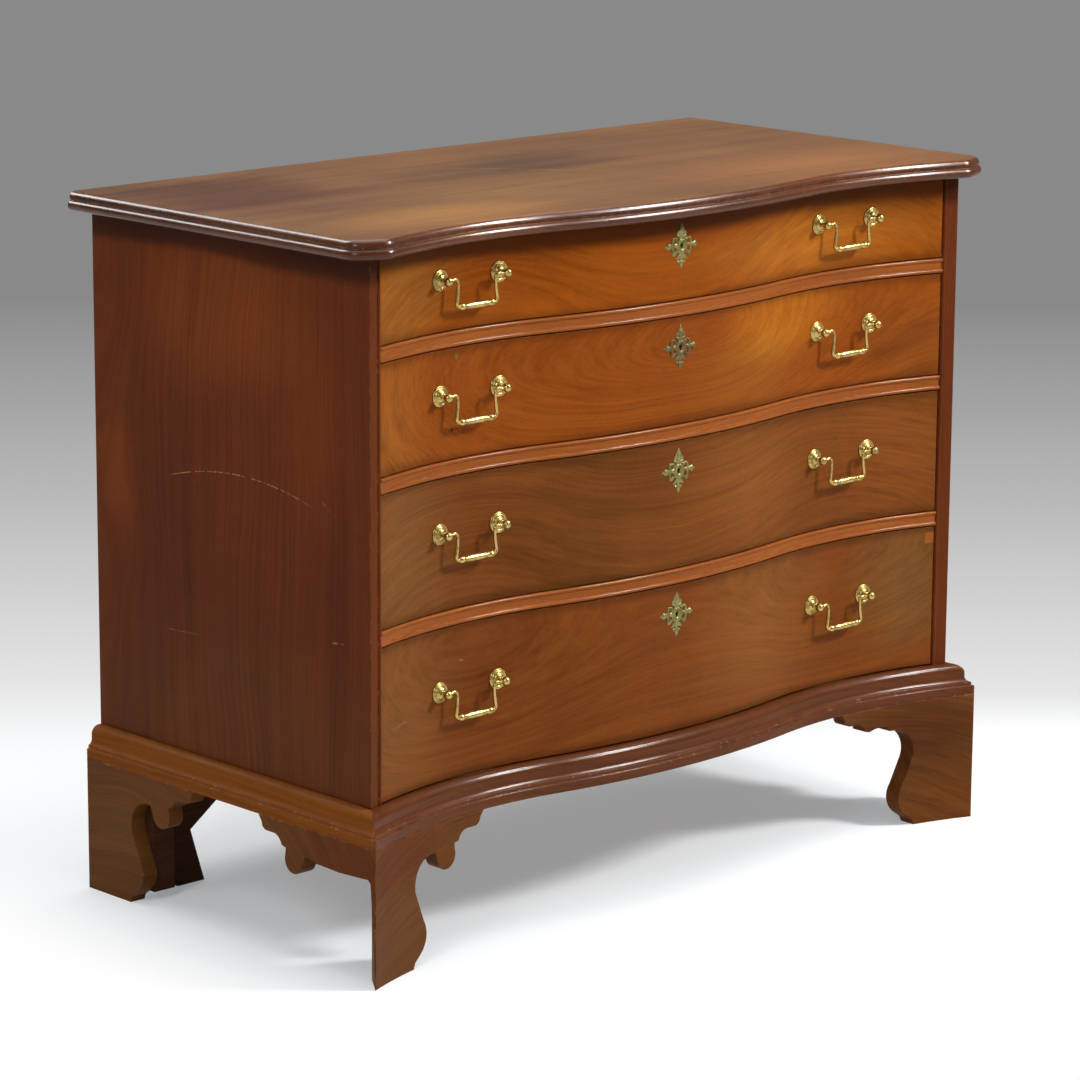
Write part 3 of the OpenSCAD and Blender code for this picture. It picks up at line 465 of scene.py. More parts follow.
def metal(name, color, tarnish, rough, spots):
    """Old cast metal: bright where it is handled, darker and duller in patches and pits."""
    material, t = new_material(name)
    place = t.node("TexCoord").outputs["Object"]
    cloud = t.noise(place, STAIN_SCALE, 4.0, 0.65)
    grain = t.noise(place, GRAIN_SCALE, 3.0, 0.6)
    patch = t.step(t.add(t.times(cloud, 0.75), t.times(grain, 0.25)), *STAIN_EDGE)
    shade = t.mix(t.times(patch, spots), color, tarnish)
    shade = t.mix(t.step(grain, *PITS), shade, darker(tarnish, 0.6))
    dull = t.add(t.times(patch, STAIN_DULL), rough)
    bump = t.node("Bump", {"Strength": 0.3, "Distance": METAL_RELIEF, "Height": grain})
    shader = t.node("BsdfPrincipled", {
        "Base Color": shade, "Metallic": 1.0, "Roughness": dull, "Normal": bump.outputs[0]})
    finish_material(t, shader.outputs[0])
    return material


# Meshes and the shapes that they are made of
SHARP_ANGLE = math.radians(32)


def plain_mesh(name, bm, material=None):
    """Turns a bmesh into a mesh and frees it."""
    mesh = bpy.data.meshes.new(name)
    bm.to_mesh(mesh)
    bm.free()
    if material is not None:
        mesh.materials.append(material)
    return mesh


def smooth_mesh(name, bm, material):
    """Turns a bmesh into a mesh whose faces are smooth and look outwards."""
    bmesh.ops.recalc_face_normals(bm, faces=bm.faces)
    mesh = plain_mesh(name, bm, material)
    mesh.polygons.foreach_set("use_smooth", [True] * len(mesh.polygons))
    return mesh


def place_piece(name, mesh, place=(0, 0, 0)):
    piece = bpy.data.objects.new(name, mesh)
    piece.location = place
    scene.collection.objects.link(piece)
    return piece


def applied_mesh(piece):
    """A piece's mesh with its modifiers carried out."""
    return bpy.data.meshes.new_from_object(piece.evaluated_get(bpy.context.evaluated_depsgraph_get()))


def curve_value(a, b, c, d, u):
    """The value at share u of the way from b to c, on a smooth curve that comes from a and goes on to d."""
    slope, square, cube = c - a, 2 * a - 5 * b + 4 * c - d, 3 * b - a - 3 * c + d
    return 0.5 * (2 * b + slope * u + square * u * u + cube * u**3)


def smooth_line(points, steps=5):
    """Points along a smooth curve through the given ones, whose last value may be a radius."""
    line = []
    for i in range(len(points) - 1):
        before = points[max(i - 1, 0)]
        after = points[min(i + 2, len(points) - 1)]
        values = list(zip(before, points[i], points[i + 1], after))
        line += [tuple(curve_value(*four, k / steps) for four in values) for k in range(steps)]
    line.append(tuple(points[-1]))
    return line


def bend(centre, radius, start, end, steps=8):
    """Points of an arc in degrees, without its first one."""
    angles = [math.radians(start + (end - start) * i / steps) for i in range(1, steps + 1)]
    return [(centre[0] + radius * math.cos(a), centre[1] + radius * math.sin(a)) for a in angles]


def full_turn(count):
    return [2 * math.pi * k / count for k in range(count)]


def join_rings(bm, rings):
    """Faces between rings of as many vertices, with caps at both ends; a ring may be one vertex."""
    for one, other in zip(rings, rings[1:]):
        for k in range(max(len(one), len(other))):
            corners = [one[k % len(one)], one[(k + 1) % len(one)]]
            corners += [other[(k + 1) % len(other)], other[k % len(other)]]
            unique = list(dict.fromkeys(corners))
            if len(unique) > 2:
                bm.faces.new(unique)
    for ring in (rings[0], rings[-1]):
        if len(ring) > 2:
            bm.faces.new(ring)


def lathe(bm, profile, matrix, segments):
    """Turns a profile of (radius, height) in millimetres about the matrix's own Z axis."""
    rings = []
    for radius, height in profile:
        ring = [(0.0, 0.0)]
        if radius > 0:
            ring = [(radius * math.cos(a), radius * math.sin(a)) for a in full_turn(segments)]
        rings.append([bm.verts.new(matrix @ Vector((x, y, height)) * MM) for x, y in ring])
    join_rings(bm, rings)


def flat_tube(bm, path, sides=14, depth=1.0):
    """A rod along a path of (x, z, radius) in millimetres, in the XZ plane, flattened in depth."""
    rings = []
    for i, (x, z, radius) in enumerate(path):
        ahead = path[min(i + 1, len(path) - 1)]
        back = path[max(i - 1, 0)]
        way = Vector((ahead[0] - back[0], ahead[1] - back[1])).normalized()
        ring = []
        for angle in full_turn(sides):
            off, y = radius * math.cos(angle), depth * radius * math.sin(angle)
            ring.append(bm.verts.new(Vector((x - way.y * off, y, z + way.x * off)) * MM))
        rings.append(ring)
    join_rings(bm, rings)


# Bails, in millimetres round the middle of the line through their two pins
BALL_R = 5.0
PIN_GAP = 0.3
ARM_R, ARM_NECK, ARM_SWELL = 1.9, 0.25, 0.75
NECK_END, SWELL_START = 0.625, 0.45
HUMP_R, HUMP_TURN = 6.0, 25.0
SHOULDER_R = 5.0
FLARE_TURN = 12.0
CORNER_R = 4.5
HALF_HANDLE = 44.5
DROP = 30.0
# A pin, its collar as (radius, way out from the arm), and how far the pin runs past the ball's middle
PIN_R = 1.6
PIN_COLLAR = [(0, -2.2), (1.7, -2.2), (2.5, -1.2), (2.55, -0.7), (1.9, 0.0), (PIN_R, 0.05)]
PIN_IN_BALL = 2.0
# Half the grip as (radius, way in from the arm's end), its middle, and its ribs
GRIP = [(2.4, -0.6), (3.2, 0.6), (3.85, 2.6), (3.9, 4.6), (3.25, 6.8), (2.85, 7.8), (3.35, 8.6), (2.95, 9.4),
        (3.2, 11.5), (3.6, 15.0), (3.8, 19.0)]
GRIP_R = 3.85
RIB_H, RIB_TURN, RIBS_IN = 0.10, 3.1, 10.0


def arm_line():
    """The middle line of a bail's right arm in X and Z, from its pin to the end of the grip."""
    pin_x = HALF_HANDLE - BALL_R - PIN_GAP
    hump = Vector((pin_x - ARM_R, HUMP_R))
    toward = math.radians(270 - HUMP_TURN)
    shoulder = hump + (HUMP_R + SHOULDER_R) * Vector((math.cos(toward), math.sin(toward)))
    flare_turn = math.radians(FLARE_TURN)
    flare_r = (shoulder.y + DROP - CORNER_R) / math.sin(flare_turn) - CORNER_R
    flare = shoulder + Vector((flare_r - SHOULDER_R, 0))
    corner = flare - (flare_r + CORNER_R) * Vector((math.cos(flare_turn), math.sin(flare_turn)))
    line = [(pin_x, 0), (hump.x, 0)]
    line += bend(hump, HUMP_R, 270, 270 - HUMP_TURN, 3)
    line += bend(shoulder, SHOULDER_R, 90 - HUMP_TURN, 180, 10)
    line += bend(flare, flare_r, 180, 180 + FLARE_TURN, 10)
    line += bend(corner, CORNER_R, FLARE_TURN, -90)
    return line, corner.x


def arm_radius(share):
    """An arm slims in its neck and swells again towards the grip; share is the way along it."""
    neck = ARM_NECK * math.sin(math.pi * min(share / NECK_END, 1.0))
    return ARM_R - neck + ARM_SWELL * max(share - SWELL_START, 0)


def grip_profile(end_x):
    """The grip as (radius, place), with a bulb at each end and a ribbed barrel between them."""
    half = []
    for radius, x in smooth_line([(radius, end_x - inset) for radius, inset in GRIP] + [(GRIP_R, 0.0)]):
        rib = RIB_H * math.cos(x * RIB_TURN) if x < end_x - RIBS_IN else 0
        half.append((radius + rib, x))
    profile = half + [(radius, -x) for radius, x in reversed(half[:-1])]
    return [(0, profile[0][1])] + profile + [(0, profile[-1][1])]


def bail_mesh(material):
    """A cast bail: two arms that swell into a turned grip."""
    bm = bmesh.new()
    line, end_x = arm_line()
    last = len(line) - 1
    start = line[0][0]
    pin_end = HALF_HANDLE + PIN_IN_BALL
    pin = [(radius, start + out) for radius, out in PIN_COLLAR] + [(PIN_R, pin_end), (0, pin_end)]
    for side in (-1, 1):
        flat_tube(bm, [(side * x, z, arm_radius(i / last)) for i, (x, z) in enumerate(line)])
        lathe(bm, pin, Matrix.Rotation(side * math.pi / 2, 4, "Y"), 28)
    grip = Matrix.Translation((0, 0, -DROP)) @ Matrix.Rotation(math.pi / 2, 4, "Y")
    lathe(bm, grip_profile(end_x), grip, 32)
    return smooth_mesh("bail", bm, material)


# Posts, as (radius, way out from the front) in millimetres, with a shank through the front and a nut behind
ROSETTE = [(0.0, 6.3), (2.6, 6.1), (4.8, 5.4), (6.3, 4.2), (7.1, 3.1), (7.6, 2.9), (8.4, 3.3), (9.2, 3.0),
           (9.7, 2.2), (10.3, 1.9), (11.2, 1.9), (11.8, 1.4), (12.0, 0.7), (11.9, -0.4), (0.0, -0.4)]
KNOB = [(0.0, 2.0), (2.9, 2.0), (2.7, 6.5), (3.0, 7.6), (3.9, 8.4), (3.3, 9.2), (3.9, 10.2), (4.8, 12.0),
        (5.0, 14.0), (4.7, 15.9), (3.6, 17.6), (2.0, 18.6), (0.0, 18.95)]
# The thickness of a drawer front, the shank through it and the nut behind it
FRONT_T = 22.0
SHANK_R, SHANK_PAST_NUT, SHANK_EDGE = 2.5, 1.0, 0.3
NUT_R, NUT_T, NUT_EDGE, NUT_SUNK = 5.0, 4.0, 0.6, 0.2


def add_post(bm, x, z):
    """A rosette that lies on the curve of the front, and a knob, a shank and a nut that stand square."""
    face = front_y(x)
    base = Matrix.Translation(Vector((x, face, z)) / MM)
    outward = Matrix.Rotation(math.pi / 2, 4, "X")
    inward = Matrix.Rotation(-math.pi / 2, 4, "X")
    slope = math.asin((abs(x) - HOLLOW_X) / HOLLOW_R) * math.copysign(1, x)
    back = (front_y(x, -FRONT_T * MM) - face) / MM
    nut_end = back + NUT_T
    end = nut_end + SHANK_PAST_NUT
    shank = [(0, 0), (SHANK_R, 0), (SHANK_R, end - SHANK_EDGE), (SHANK_R - SHANK_EDGE, end), (0, end)]
    nut = [(SHANK_R, back - NUT_SUNK), (NUT_R, back - NUT_SUNK), (NUT_R, nut_end - NUT_EDGE),
           (NUT_R - NUT_EDGE, nut_end), (SHANK_R, nut_end)]
    rosette = smooth_line(ROSETTE[:-1], 4) + [ROSETTE[-1]]
    lathe(bm, rosette, base @ Matrix.Rotation(-slope, 4, "Z") @ outward, 48)
    lathe(bm, KNOB[:1] + smooth_line(KNOB[1:], 4), base @ outward, 40)
    lathe(bm, shank, base @ inward, 20)
    lathe(bm, nut, base @ inward, 6)


def posts_piece(n, x_left, x_right, z, material):
    """The four posts of a drawer."""
    bm = bmesh.new()
    for x in (x_left, x_right, -x_left, -x_right):
        add_post(bm, x, z)
    return place_piece(f"posts_{n}", smooth_mesh(f"posts_{n}", bm, material))


# Key plates: the right half of their scrolls as strokes of (x, z, radius) in millimetres round the keyhole
PLATE_STROKES = [
    [(0, 8.0, 3.0), (0, 12.0, 2.6), (0, 15.8, 4.8), (0, 19.0, 4.4), (0, 22.4, 2.5), (0, 25.9, 0.7)],
    [(2.0, 16.2, 2.4), (5.0, 15.2, 2.4), (7.6, 13.2, 1.2)],
    [(2.4, 8.8, 2.2), (5.6, 10.6, 2.1), (8.4, 9.8, 1.3)],
    [(8.0, 0.4, 2.8), (12.0, 0.2, 2.1), (15.4, 0, 1.9), (18.8, 0, 3.4), (21.2, 0, 4.2), (24.0, 0, 2.2),
     (26.8, 0, 0.6)],
    [(14.2, 0, 2.0), (14.6, 4.4, 2.0), (13.2, 9.0, 1.2)],
    [(14.2, 0, 2.0), (14.2, -5.4, 2.0), (12.6, -11.0, 1.3)],
    [(6.4, 6.2, 2.1), (10.0, 7.9, 1.8), (13.4, 8.4, 1.2)],
    [(6.4, -6.4, 2.1), (10.0, -8.6, 1.9), (12.8, -10.6, 1.3)],
    [(0, -8.4, 2.8), (0, -12.4, 2.4), (0, -16.0, 2.0), (0, -19.4, 3.5), (0, -22.4, 2.3), (0, -26.1, 0.6)],
    [(1.4, -10.2, 2.5), (4.8, -13.0, 2.4), (8.4, -15.4, 1.1)],
    [(0.8, -16.6, 1.7), (4.0, -18.6, 1.7), (5.8, -17.4, 0.9)],
]
# Depth of the strokes as a share of their width, the boss round the keyhole, and the keyhole's right side
SCROLL_DEPTH, BOSS_DEPTH = 0.55, 0.7
BOSS_WIDE, BOSS_HIGH, BOSS_Z, BOSS_R = 5.6, 6.0, -0.6, 3.2
KEYHOLE_SIDE = [(3.4, 0.4, 1.6), (3.0, -2.0, 2.0), (3.0, -5.5, 2.0)]
# Fineness of the plate's mesh, the share of its depth that it keeps, and how far it is let into the front
PLATE_VOXEL = 0.34
PLATE_SQUEEZE, PLATE_SUNK = 0.9, 0.1


def plate_strokes(bm):
    """The scrolls on both sides, and the boss with the keyhole in it."""
    for stroke in PLATE_STROKES:
        sides = (1,) if all(x == 0 for x, z, r in stroke) else (1, -1)
        for side in sides:
            flat_tube(bm, [(side * x, z, r) for x, z, r in smooth_line(stroke, 4)], 12, SCROLL_DEPTH)
    turn = full_turn(32) + [2 * math.pi]
    boss = [(BOSS_WIDE * math.cos(a), BOSS_HIGH * math.sin(a) + BOSS_Z, BOSS_R) for a in turn]
    flat_tube(bm, boss, 12, BOSS_DEPTH)
    for side in (-1, 1):
        flat_tube(bm, [(side * x, z, r) for x, z, r in KEYHOLE_SIDE], 12, BOSS_DEPTH)


def escutcheon_mesh(material):
    """A cast and pierced key plate, laid on the bow of the front round the middle of its keyhole."""
    bm = bmesh.new()
    plate_strokes(bm)
    shape = place_piece("escutcheon_shape", plain_mesh("escutcheon", bm))
    remesh = shape.modifiers.new("remesh", "REMESH")
    remesh.mode = "VOXEL"
    remesh.voxel_size = PLATE_VOXEL * MM
    soften = shape.modifiers.new("soften", "SMOOTH")
    soften.iterations = 3
    made = applied_mesh(shape)
    bpy.data.objects.remove(shape)
    for vertex in made.vertices:
        vertex.co.y = front_y(vertex.co.x) + min(vertex.co.y * PLATE_SQUEEZE, PLATE_SUNK * MM)
    made.polygons.foreach_set("use_smooth", [True] * len(made.polygons))
    made.materials.clear()
    made.materials.append(material)
    return made


def make_metalwork():
    """Posts, bails and key plates on each drawer; the second key plate is darker than the others."""
    brass = metal("brass", linear(204, 176, 106), linear(112, 90, 44), 0.26, 0.65)
    old_brass = metal("old_brass", linear(152, 144, 92), linear(88, 82, 44), 0.4, 0.8)
    dark_brass = metal("dark_brass", linear(124, 110, 74), linear(72, 62, 38), 0.5, 0.85)
    bail = bail_mesh(brass)
    plate = escutcheon_mesh(old_brass)
    dark_plate = plate.copy()
    dark_plate.materials[0] = dark_brass
    half = HALF_HANDLE * MM
    for n in (1, 2, 3, 4):
        right = Vector(joints[f"bail_{n}_right_hinge"]["pos_m"])
        posts = posts_piece(n, right.x - half, right.x + half, right.z, brass)
        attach(posts, f"drawer_{n}")
        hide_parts(f"drawer_{n}_posts")
        for side in ("left", "right"):
            hinge = Vector(joints[f"bail_{n}_{side}_hinge"]["pos_m"])
            piece = place_piece(f"bail_{n}_{side}", bail, hinge)
            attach(piece, f"bail_{n}_{side}")
            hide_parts(f"drawer_{n}_bail_{side}")
        low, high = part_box(f"drawer_{n}_escutcheon")
        key = place_piece(f"escutcheon_{n}", dark_plate if n == 2 else plate, (0, 0, (low.z + high.z) / 2))
        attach(key, f"drawer_{n}")
        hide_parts(f"drawer_{n}_escutcheon")


# Base moulding, with its section as (out from the case, height) in millimetres
MOULD_OUT, MOULD_H = 21.0, 37.0
ROUND_MIDDLE, ROUND_R = (3.4, 26.6), 10.4
COVE_MIDDLE, COVE_R = (21.0, 21.8), 7.2
FILLET = [(18.7, 14.2), (18.7, 11.9), (18.9, 11.4)]
BAND_H, BAND_TOP_R, BAND_FOOT_R = 11.2, 1.0, 0.7
HALF_W = -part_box("side_left")[0].x
# How far the back corners of the front moulding are tucked in, and the steps along its curve
TUCK = 0.5
STATIONS = 160


def moulding_section():
    """A big round over a hollow, a fillet and a flat band with softened edges."""
    line = [(0.0, MOULD_H), (1.8, MOULD_H)]
    line += bend(ROUND_MIDDLE, ROUND_R, 98, 0, 14)
    line += bend(COVE_MIDDLE, COVE_R, 180, 252, 10)
    line += FILLET + [(19.9, BAND_H)]
    line += bend((MOULD_OUT - BAND_TOP_R, BAND_H - BAND_TOP_R), BAND_TOP_R, 90, 0, 4)
    line += bend((MOULD_OUT - BAND_FOOT_R, BAND_FOOT_R), BAND_FOOT_R, 0, -90, 3)
    return line


def front_moulding(section):
    """The section laid along the serpentine front, with mitred ends."""
    low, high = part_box("base_moulding_front")
    bm = bmesh.new()
    rings = []
    for i in range(STATIONS + 1):
        share = 2 * i / STATIONS - 1
        ring = []
        for out, z in section:
            x = share * (HALF_W + out * MM)
            ring.append(bm.verts.new((x, front_y(x, out * MM), low.z + z * MM)))
        x = share * (HALF_W - TUCK * MM)
        ring.append(bm.verts.new((x, high.y, low.z)))
        ring.append(bm.verts.new((x, high.y, low.z + MOULD_H * MM)))
        rings.append(ring)
    join_rings(bm, rings)
    return bm


def side_moulding(section, sign, back):
    """The section laid along one side, from the mitre at the front corner to the back."""
    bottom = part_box("base_moulding_front")[0].z
    corner, outer = front_y(HALF_W), front_y(HALF_W + MOULD_OUT * MM, MOULD_OUT * MM)
    outline = section + [(0.0, 0.0)]
    mitre = [corner + (outer - corner) * out / MOULD_OUT for out, z in outline]
    bm = bmesh.new()
    rings = []
    for places in (mitre, [back] * len(outline)):
        rings.append([bm.verts.new((sign * (HALF_W + out * MM), y, bottom + z * MM))
                      for y, (out, z) in zip(places, outline)])
    join_rings(bm, rings)
    return bm


def add_moulding(name, bm, material, replaced):
    piece = place_piece(name, smooth_mesh(name, bm, material))
    piece.data.set_sharp_from_angle(angle=SHARP_ANGLE)
    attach(piece, "case")
    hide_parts(replaced)


def make_mouldings(front, side):
    """The three mouldings between the case and the feet."""
    section = moulding_section()
    add_moulding("base_front", front_moulding(section), front, "base_moulding_front")
    for name, sign in (("left", -1), ("right", 1)):
        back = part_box(f"base_moulding_{name}")[1].y
        add_moulding(f"base_{name}", side_moulding(section, sign, back), side, f"base_moulding_{name}")


# The top, whose canted corners are worn round: its overhang, cant, radius and edge, in millimetres
TOP_FRONT = 29.0
CANT_ALONG, CANT_BACK = 41.0, 17.0
CANT_R = 24.0
OVOLO_R, QUIRK_IN, QUIRK_H, QUIRK_DEEP, NOSE_R = 8.0, 2.6, 2.0, 1.5, 6.0
BOW_STEPS, HOLLOW_STEPS, CORNER_STEPS = 24, 28, 9
# The pocket for the upper lock's bolt
POCKET_ROOM, BOLT_TRAVEL = 1.0, 8.0


def top_section():
    """The top's edge as (inset, height), from the upper face down to the lower one."""
    ovolo_z = 2 * NOSE_R + QUIRK_H
    core = QUIRK_IN + QUIRK_DEEP
    start = math.degrees(math.acos((NOSE_R - core) / NOSE_R))
    upper = bend((0, ovolo_z), OVOLO_R, 90, 0, 10)
    lower = bend((0, NOSE_R), NOSE_R, start, -90, 14)
    line = [(QUIRK_IN + OVOLO_R, ovolo_z + OVOLO_R)] + [(QUIRK_IN + OVOLO_R - x, z) for x, z in upper]
    line += [(core, ovolo_z), (core, NOSE_R + NOSE_R * math.sin(math.radians(start)))]
    return line + [(NOSE_R - x, z) for x, z in lower]


def round_corner(centre, radius, start, end):
    """Points and outward directions round a corner, from one direction to another."""
    first, last = (math.atan2(way.y, way.x) for way in (start, end))
    turns = [first + (last - first) * i / CORNER_STEPS for i in range(CORNER_STEPS + 1)]
    ways = [Vector((math.cos(a), math.sin(a))) for a in turns]
    return [(centre + radius * way, way) for way in ways]


def top_outline(half, back):
    """Points and outward directions along the top's edge, from the middle of the front to the right back."""
    out, radius = TOP_FRONT * MM, CANT_R * MM
    bow, hollow = Vector((0, FRONT_Y + BOW_R)), Vector((HOLLOW_X, HOLLOW_Y))
    turn = math.asin(HOLLOW_X / CENTRES_APART)
    line = []
    for i in range(BOW_STEPS):
        angle = turn * i / BOW_STEPS
        way = Vector((math.sin(angle), -math.cos(angle)))
        line.append((bow + (BOW_R + out) * way, way))
    cant = Vector((CANT_ALONG, CANT_BACK)).normalized()
    cant_out = Vector((cant.y, -cant.x))
    start_x = half - CANT_ALONG * MM
    start = Vector((start_x, front_y(start_x, out)))
    # the middle of the round corner that touches both the hollow and the cant, seen from the hollow's middle
    reach = start - radius * cant_out - hollow
    along = reach.dot(cant)
    far = HOLLOW_R - out + radius
    inner = reach + (math.sqrt(along**2 - reach.length_squared + far**2) - along) * cant
    end = math.atan2(inner.x, inner.y)
    for i in range(HOLLOW_STEPS):
        angle = -turn + (end + turn) * i / HOLLOW_STEPS
        way = Vector((-math.sin(angle), -math.cos(angle)))
        line.append((hollow - (HOLLOW_R - out) * way, way))
    line += round_corner(hollow + inner, radius, -inner, cant_out)
    outer_x = half - radius
    outer_y = start.y - (radius + (outer_x - start.x) * cant_out.x) / cant_out.y
    right = Vector((1, 0))
    line += round_corner(Vector((outer_x, outer_y)), radius, cant_out, right)
    return line + [(Vector((half, back)), right)]


def make_top(material):
    """The top board: its section run round the outline, between two flat faces."""
    low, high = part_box("top")
    right = top_outline(high.x, high.y)
    left = [(Vector((-p.x, p.y)), Vector((-way.x, way.y))) for p, way in reversed(right[1:])]
    section = top_section()
    bm = bmesh.new()
    rings = []
    for point, way in left + right:
        rings.append([bm.verts.new((*(point - inset * MM * way), low.z + z * MM)) for inset, z in section])
    for one, other in zip(rings, rings[1:]):
        for k in range(len(section) - 1):
            bm.faces.new((one[k], one[k + 1], other[k + 1], other[k]))
    bm.faces.new([ring[0] for ring in rings])
    bm.faces.new([ring[-1] for ring in rings])
    bm.faces.new(rings[0] + rings[-1][::-1])
    piece = place_piece("top_board", smooth_mesh("top_board", bm, material))
    cut_pocket(piece, low.z)
    piece.data.set_sharp_from_angle(angle=SHARP_ANGLE)
    for polygon in piece.data.polygons:
        polygon.use_smooth = len(polygon.vertices) <= 4
    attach(piece, "case")
    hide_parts("top")


def cut_pocket(piece, bottom):
    """Cuts the pocket that the upper lock's bolt rises into from the underside of a piece."""
    low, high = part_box("drawer_1_lock_bolt")
    room = 2 * POCKET_ROOM * MM
    size = Vector((high.x - low.x + room, high.y - low.y + room, 2 * BOLT_TRAVEL * MM))
    middle = Vector(((low.x + high.x) / 2, (low.y + high.y) / 2, bottom))
    bm = bmesh.new()
    bmesh.ops.create_cube(bm, size=1.0)
    bmesh.ops.transform(bm, matrix=Matrix.Translation(middle) @ Matrix.Diagonal((*size, 1)), verts=bm.verts)
    cutter = place_piece("pocket", plain_mesh("pocket", bm))
    cut = piece.modifiers.new("pocket", "BOOLEAN")
    cut.operation = "DIFFERENCE"
    cut.solver = "EXACT"
    cut.object = cutter
    made = applied_mesh(piece)
    piece.modifiers.clear()
    piece.data = made
    bpy.data.objects.remove(cutter)


# Soft-edged places where a board is darker, lighter or yellower: middle and reach in metres, share of colours
SIDE_ZONES = [
    ((-0.47, -0.13, 0.60), (0.2, 0.06, 0.14), (1.25, 1.2, 1.0)),
    ((-0.47, 0.22, 0.50), (0.2, 0.04, 0.09), (1.4, 1.4, 1.1)),
    ((-0.47, 0.02, 0.71), (0.2, 0.17, 0.10), (1.6, 1.65, 1.3)),
    ((-0.47, 0.12, 0.42), (0.2, 0.05, 0.20), (0.85, 0.8, 0.85)),
    ((-0.47, -0.17, 0.40), (0.2, 0.05, 0.15), (0.8, 0.75, 0.85)),
    ((-0.47, 0.0, 0.24), (0.2, 0.35, 0.12), (0.98, 1.25, 1.4)),
]
TOP_ZONES = [
    ((-0.114, -0.08, 0.82), (0.22, 0.09, 0.2), (1.15, 1.25, 1.15)),
    ((-0.30, -0.16, 0.82), (0.18, 0.07, 0.2), (1.8, 1.9, 1.6)),
    ((0.02, 0.09, 0.82), (0.17, 0.08, 0.2), (0.55, 0.55, 0.65)),
    ((-0.40, 0.10, 0.82), (0.16, 0.15, 0.2), (0.6, 0.42, 0.35)),
    ((0.30, -0.14, 0.82), (0.24, 0.11, 0.2), (1.5, 1.4, 1.2)),
]
# The pale, bluer zones near x -0.42 on each front are painted sheen on the left hollows.
FRONT_ZONES = {
    # On the first front the two dark zones at 0.79 high are painted shadow under the top's overhang.
    1: [((0.38, -0.2, 0.79), (0.16, 0.1, 0.04), (0.72, 0.7, 0.65)),
        ((-0.42, -0.2, 0.74), (0.09, 0.1, 0.09), (1.1, 1.6, 4.0)),
        ((0.05, -0.2, 0.79), (0.2, 0.1, 0.03), (0.72, 0.6, 0.6)),
        ((0.24, -0.2, 0.74), (0.22, 0.1, 0.05), (1.4, 1.9, 4.0))],
    2: [((0.19, -0.2, 0.655), (0.12, 0.1, 0.05), (1.6, 2.0, 1.6)),
        ((-0.43, -0.2, 0.61), (0.07, 0.1, 0.11), (1.2, 1.55, 2.2)),
        ((0.12, -0.2, 0.60), (0.12, 0.1, 0.05), (1.1, 1.35, 1.6)),
        ((0.42, -0.2, 0.59), (0.09, 0.1, 0.07), (0.85, 0.95, 1.5))],
    3: [((-0.42, -0.2, 0.46), (0.09, 0.1, 0.13), (1.12, 1.45, 2.0)),
        ((-0.12, -0.2, 0.45), (0.13, 0.1, 0.12), (0.8, 0.84, 0.9)),
        ((0.12, -0.2, 0.48), (0.11, 0.1, 0.09), (1.3, 1.4, 1.6)),
        ((0.38, -0.2, 0.46), (0.11, 0.1, 0.09), (1.25, 1.25, 1.3))],
    4: [((-0.42, -0.2, 0.28), (0.09, 0.1, 0.14), (1.1, 1.5, 2.0)),
        ((0.41, -0.2, 0.30), (0.09, 0.1, 0.11), (0.97, 1.5, 2.3)),
        ((0.15, -0.2, 0.30), (0.13, 0.1, 0.12), (1.2, 1.5, 1.9))],
}
FOOT_ZONES = [
    ((-0.49, -0.22, 0.13), (0.12, 0.12, 0.04), (0.95, 0.72, 0.6)),
    ((-0.49, 0.2, 0.09), (0.1, 0.12, 0.07), (1.1, 1.2, 1.3)),
    ((0.42, -0.24, 0.12), (0.12, 0.1, 0.05), (0.72, 0.6, 0.7)),
    ((0.45, -0.24, 0.02), (0.06, 0.1, 0.03), (1.2, 1.1, 1.0)),
]
# The share of each colour that is left on the top's moulded edge
TOP_RIM = (0.5, 0.33, 0.26)
# Where the pith lies beside and behind each drawer front, and how its grain turns
FIGURES = {
    1: dict(pith=(0.62, 0.10), tilt=-0.05),
    2: dict(pith=(0.66, -0.20), tilt=-0.04, lean=0.35),
    3: dict(pith=(0.30, 0.02), tilt=0.03),
    4: dict(pith=(0.36, -0.05), tilt=-0.03),
}
# Patches let into the drawer fronts: low corner, high corner and tint
LET_IN = {4: [((0.437, 0.348), (0.452, 0.362), PATCH)]}


# Scratches, chips and nail marks, each round a place on its board
def side_mark(y, z, **look):
    return dict(u_axis=1, v_axis=2, middle=(y, z), **look)


def front_mark(x, z, **look):
    return dict(u_axis=0, v_axis=2, middle=(x, z), **look)


def top_mark(x, y, **look):
    return dict(u_axis=0, v_axis=1, middle=(x, y), **look)


# The breaks of a mark that has none
UNBROKEN = (-1.0, -0.5)
SIDE_SCRATCHES = [
    side_mark(0.0, 0.5292, slope=-0.02, bow=1.15, half=0.135, width=0.8 * MM, breaks=(0.44, 0.6)),
    side_mark(-0.168, 0.3690, slope=-0.1, half=0.011, width=1.7 * MM, share=0.5, breaks=(0.42, 0.55)),
    side_mark(-0.155, 0.515, slope=0.6, half=0.012, share=0.5),
    side_mark(0.098, 0.333, slope=-0.05, half=0.03, share=0.25),
]
FRONT_MARKS = {
    2: [front_mark(-0.319, 0.670, half=0.0022, width=5.0 * MM, tint=PALE_NAIL, breaks=UNBROKEN),
        front_mark(-0.326, 0.5895, half=0.0028, width=2.8 * MM, tint=DARK_NAIL, breaks=UNBROKEN)],
    4: [front_mark(-0.4156, 0.2744, slope=0.2, half=0.013, share=0.35),
        front_mark(-0.311, 0.3279, slope=-0.3, half=0.004, share=0.5, breaks=(0.2, 0.3))],
}
TOP_SCRATCHES = [
    top_mark(0.0, 0.052, slope=-1.06, half=0.075, width=1.6 * MM, share=0.75),
    top_mark(-0.02, 0.045, slope=-0.6, half=0.04, width=1.2 * MM, share=0.4),
]


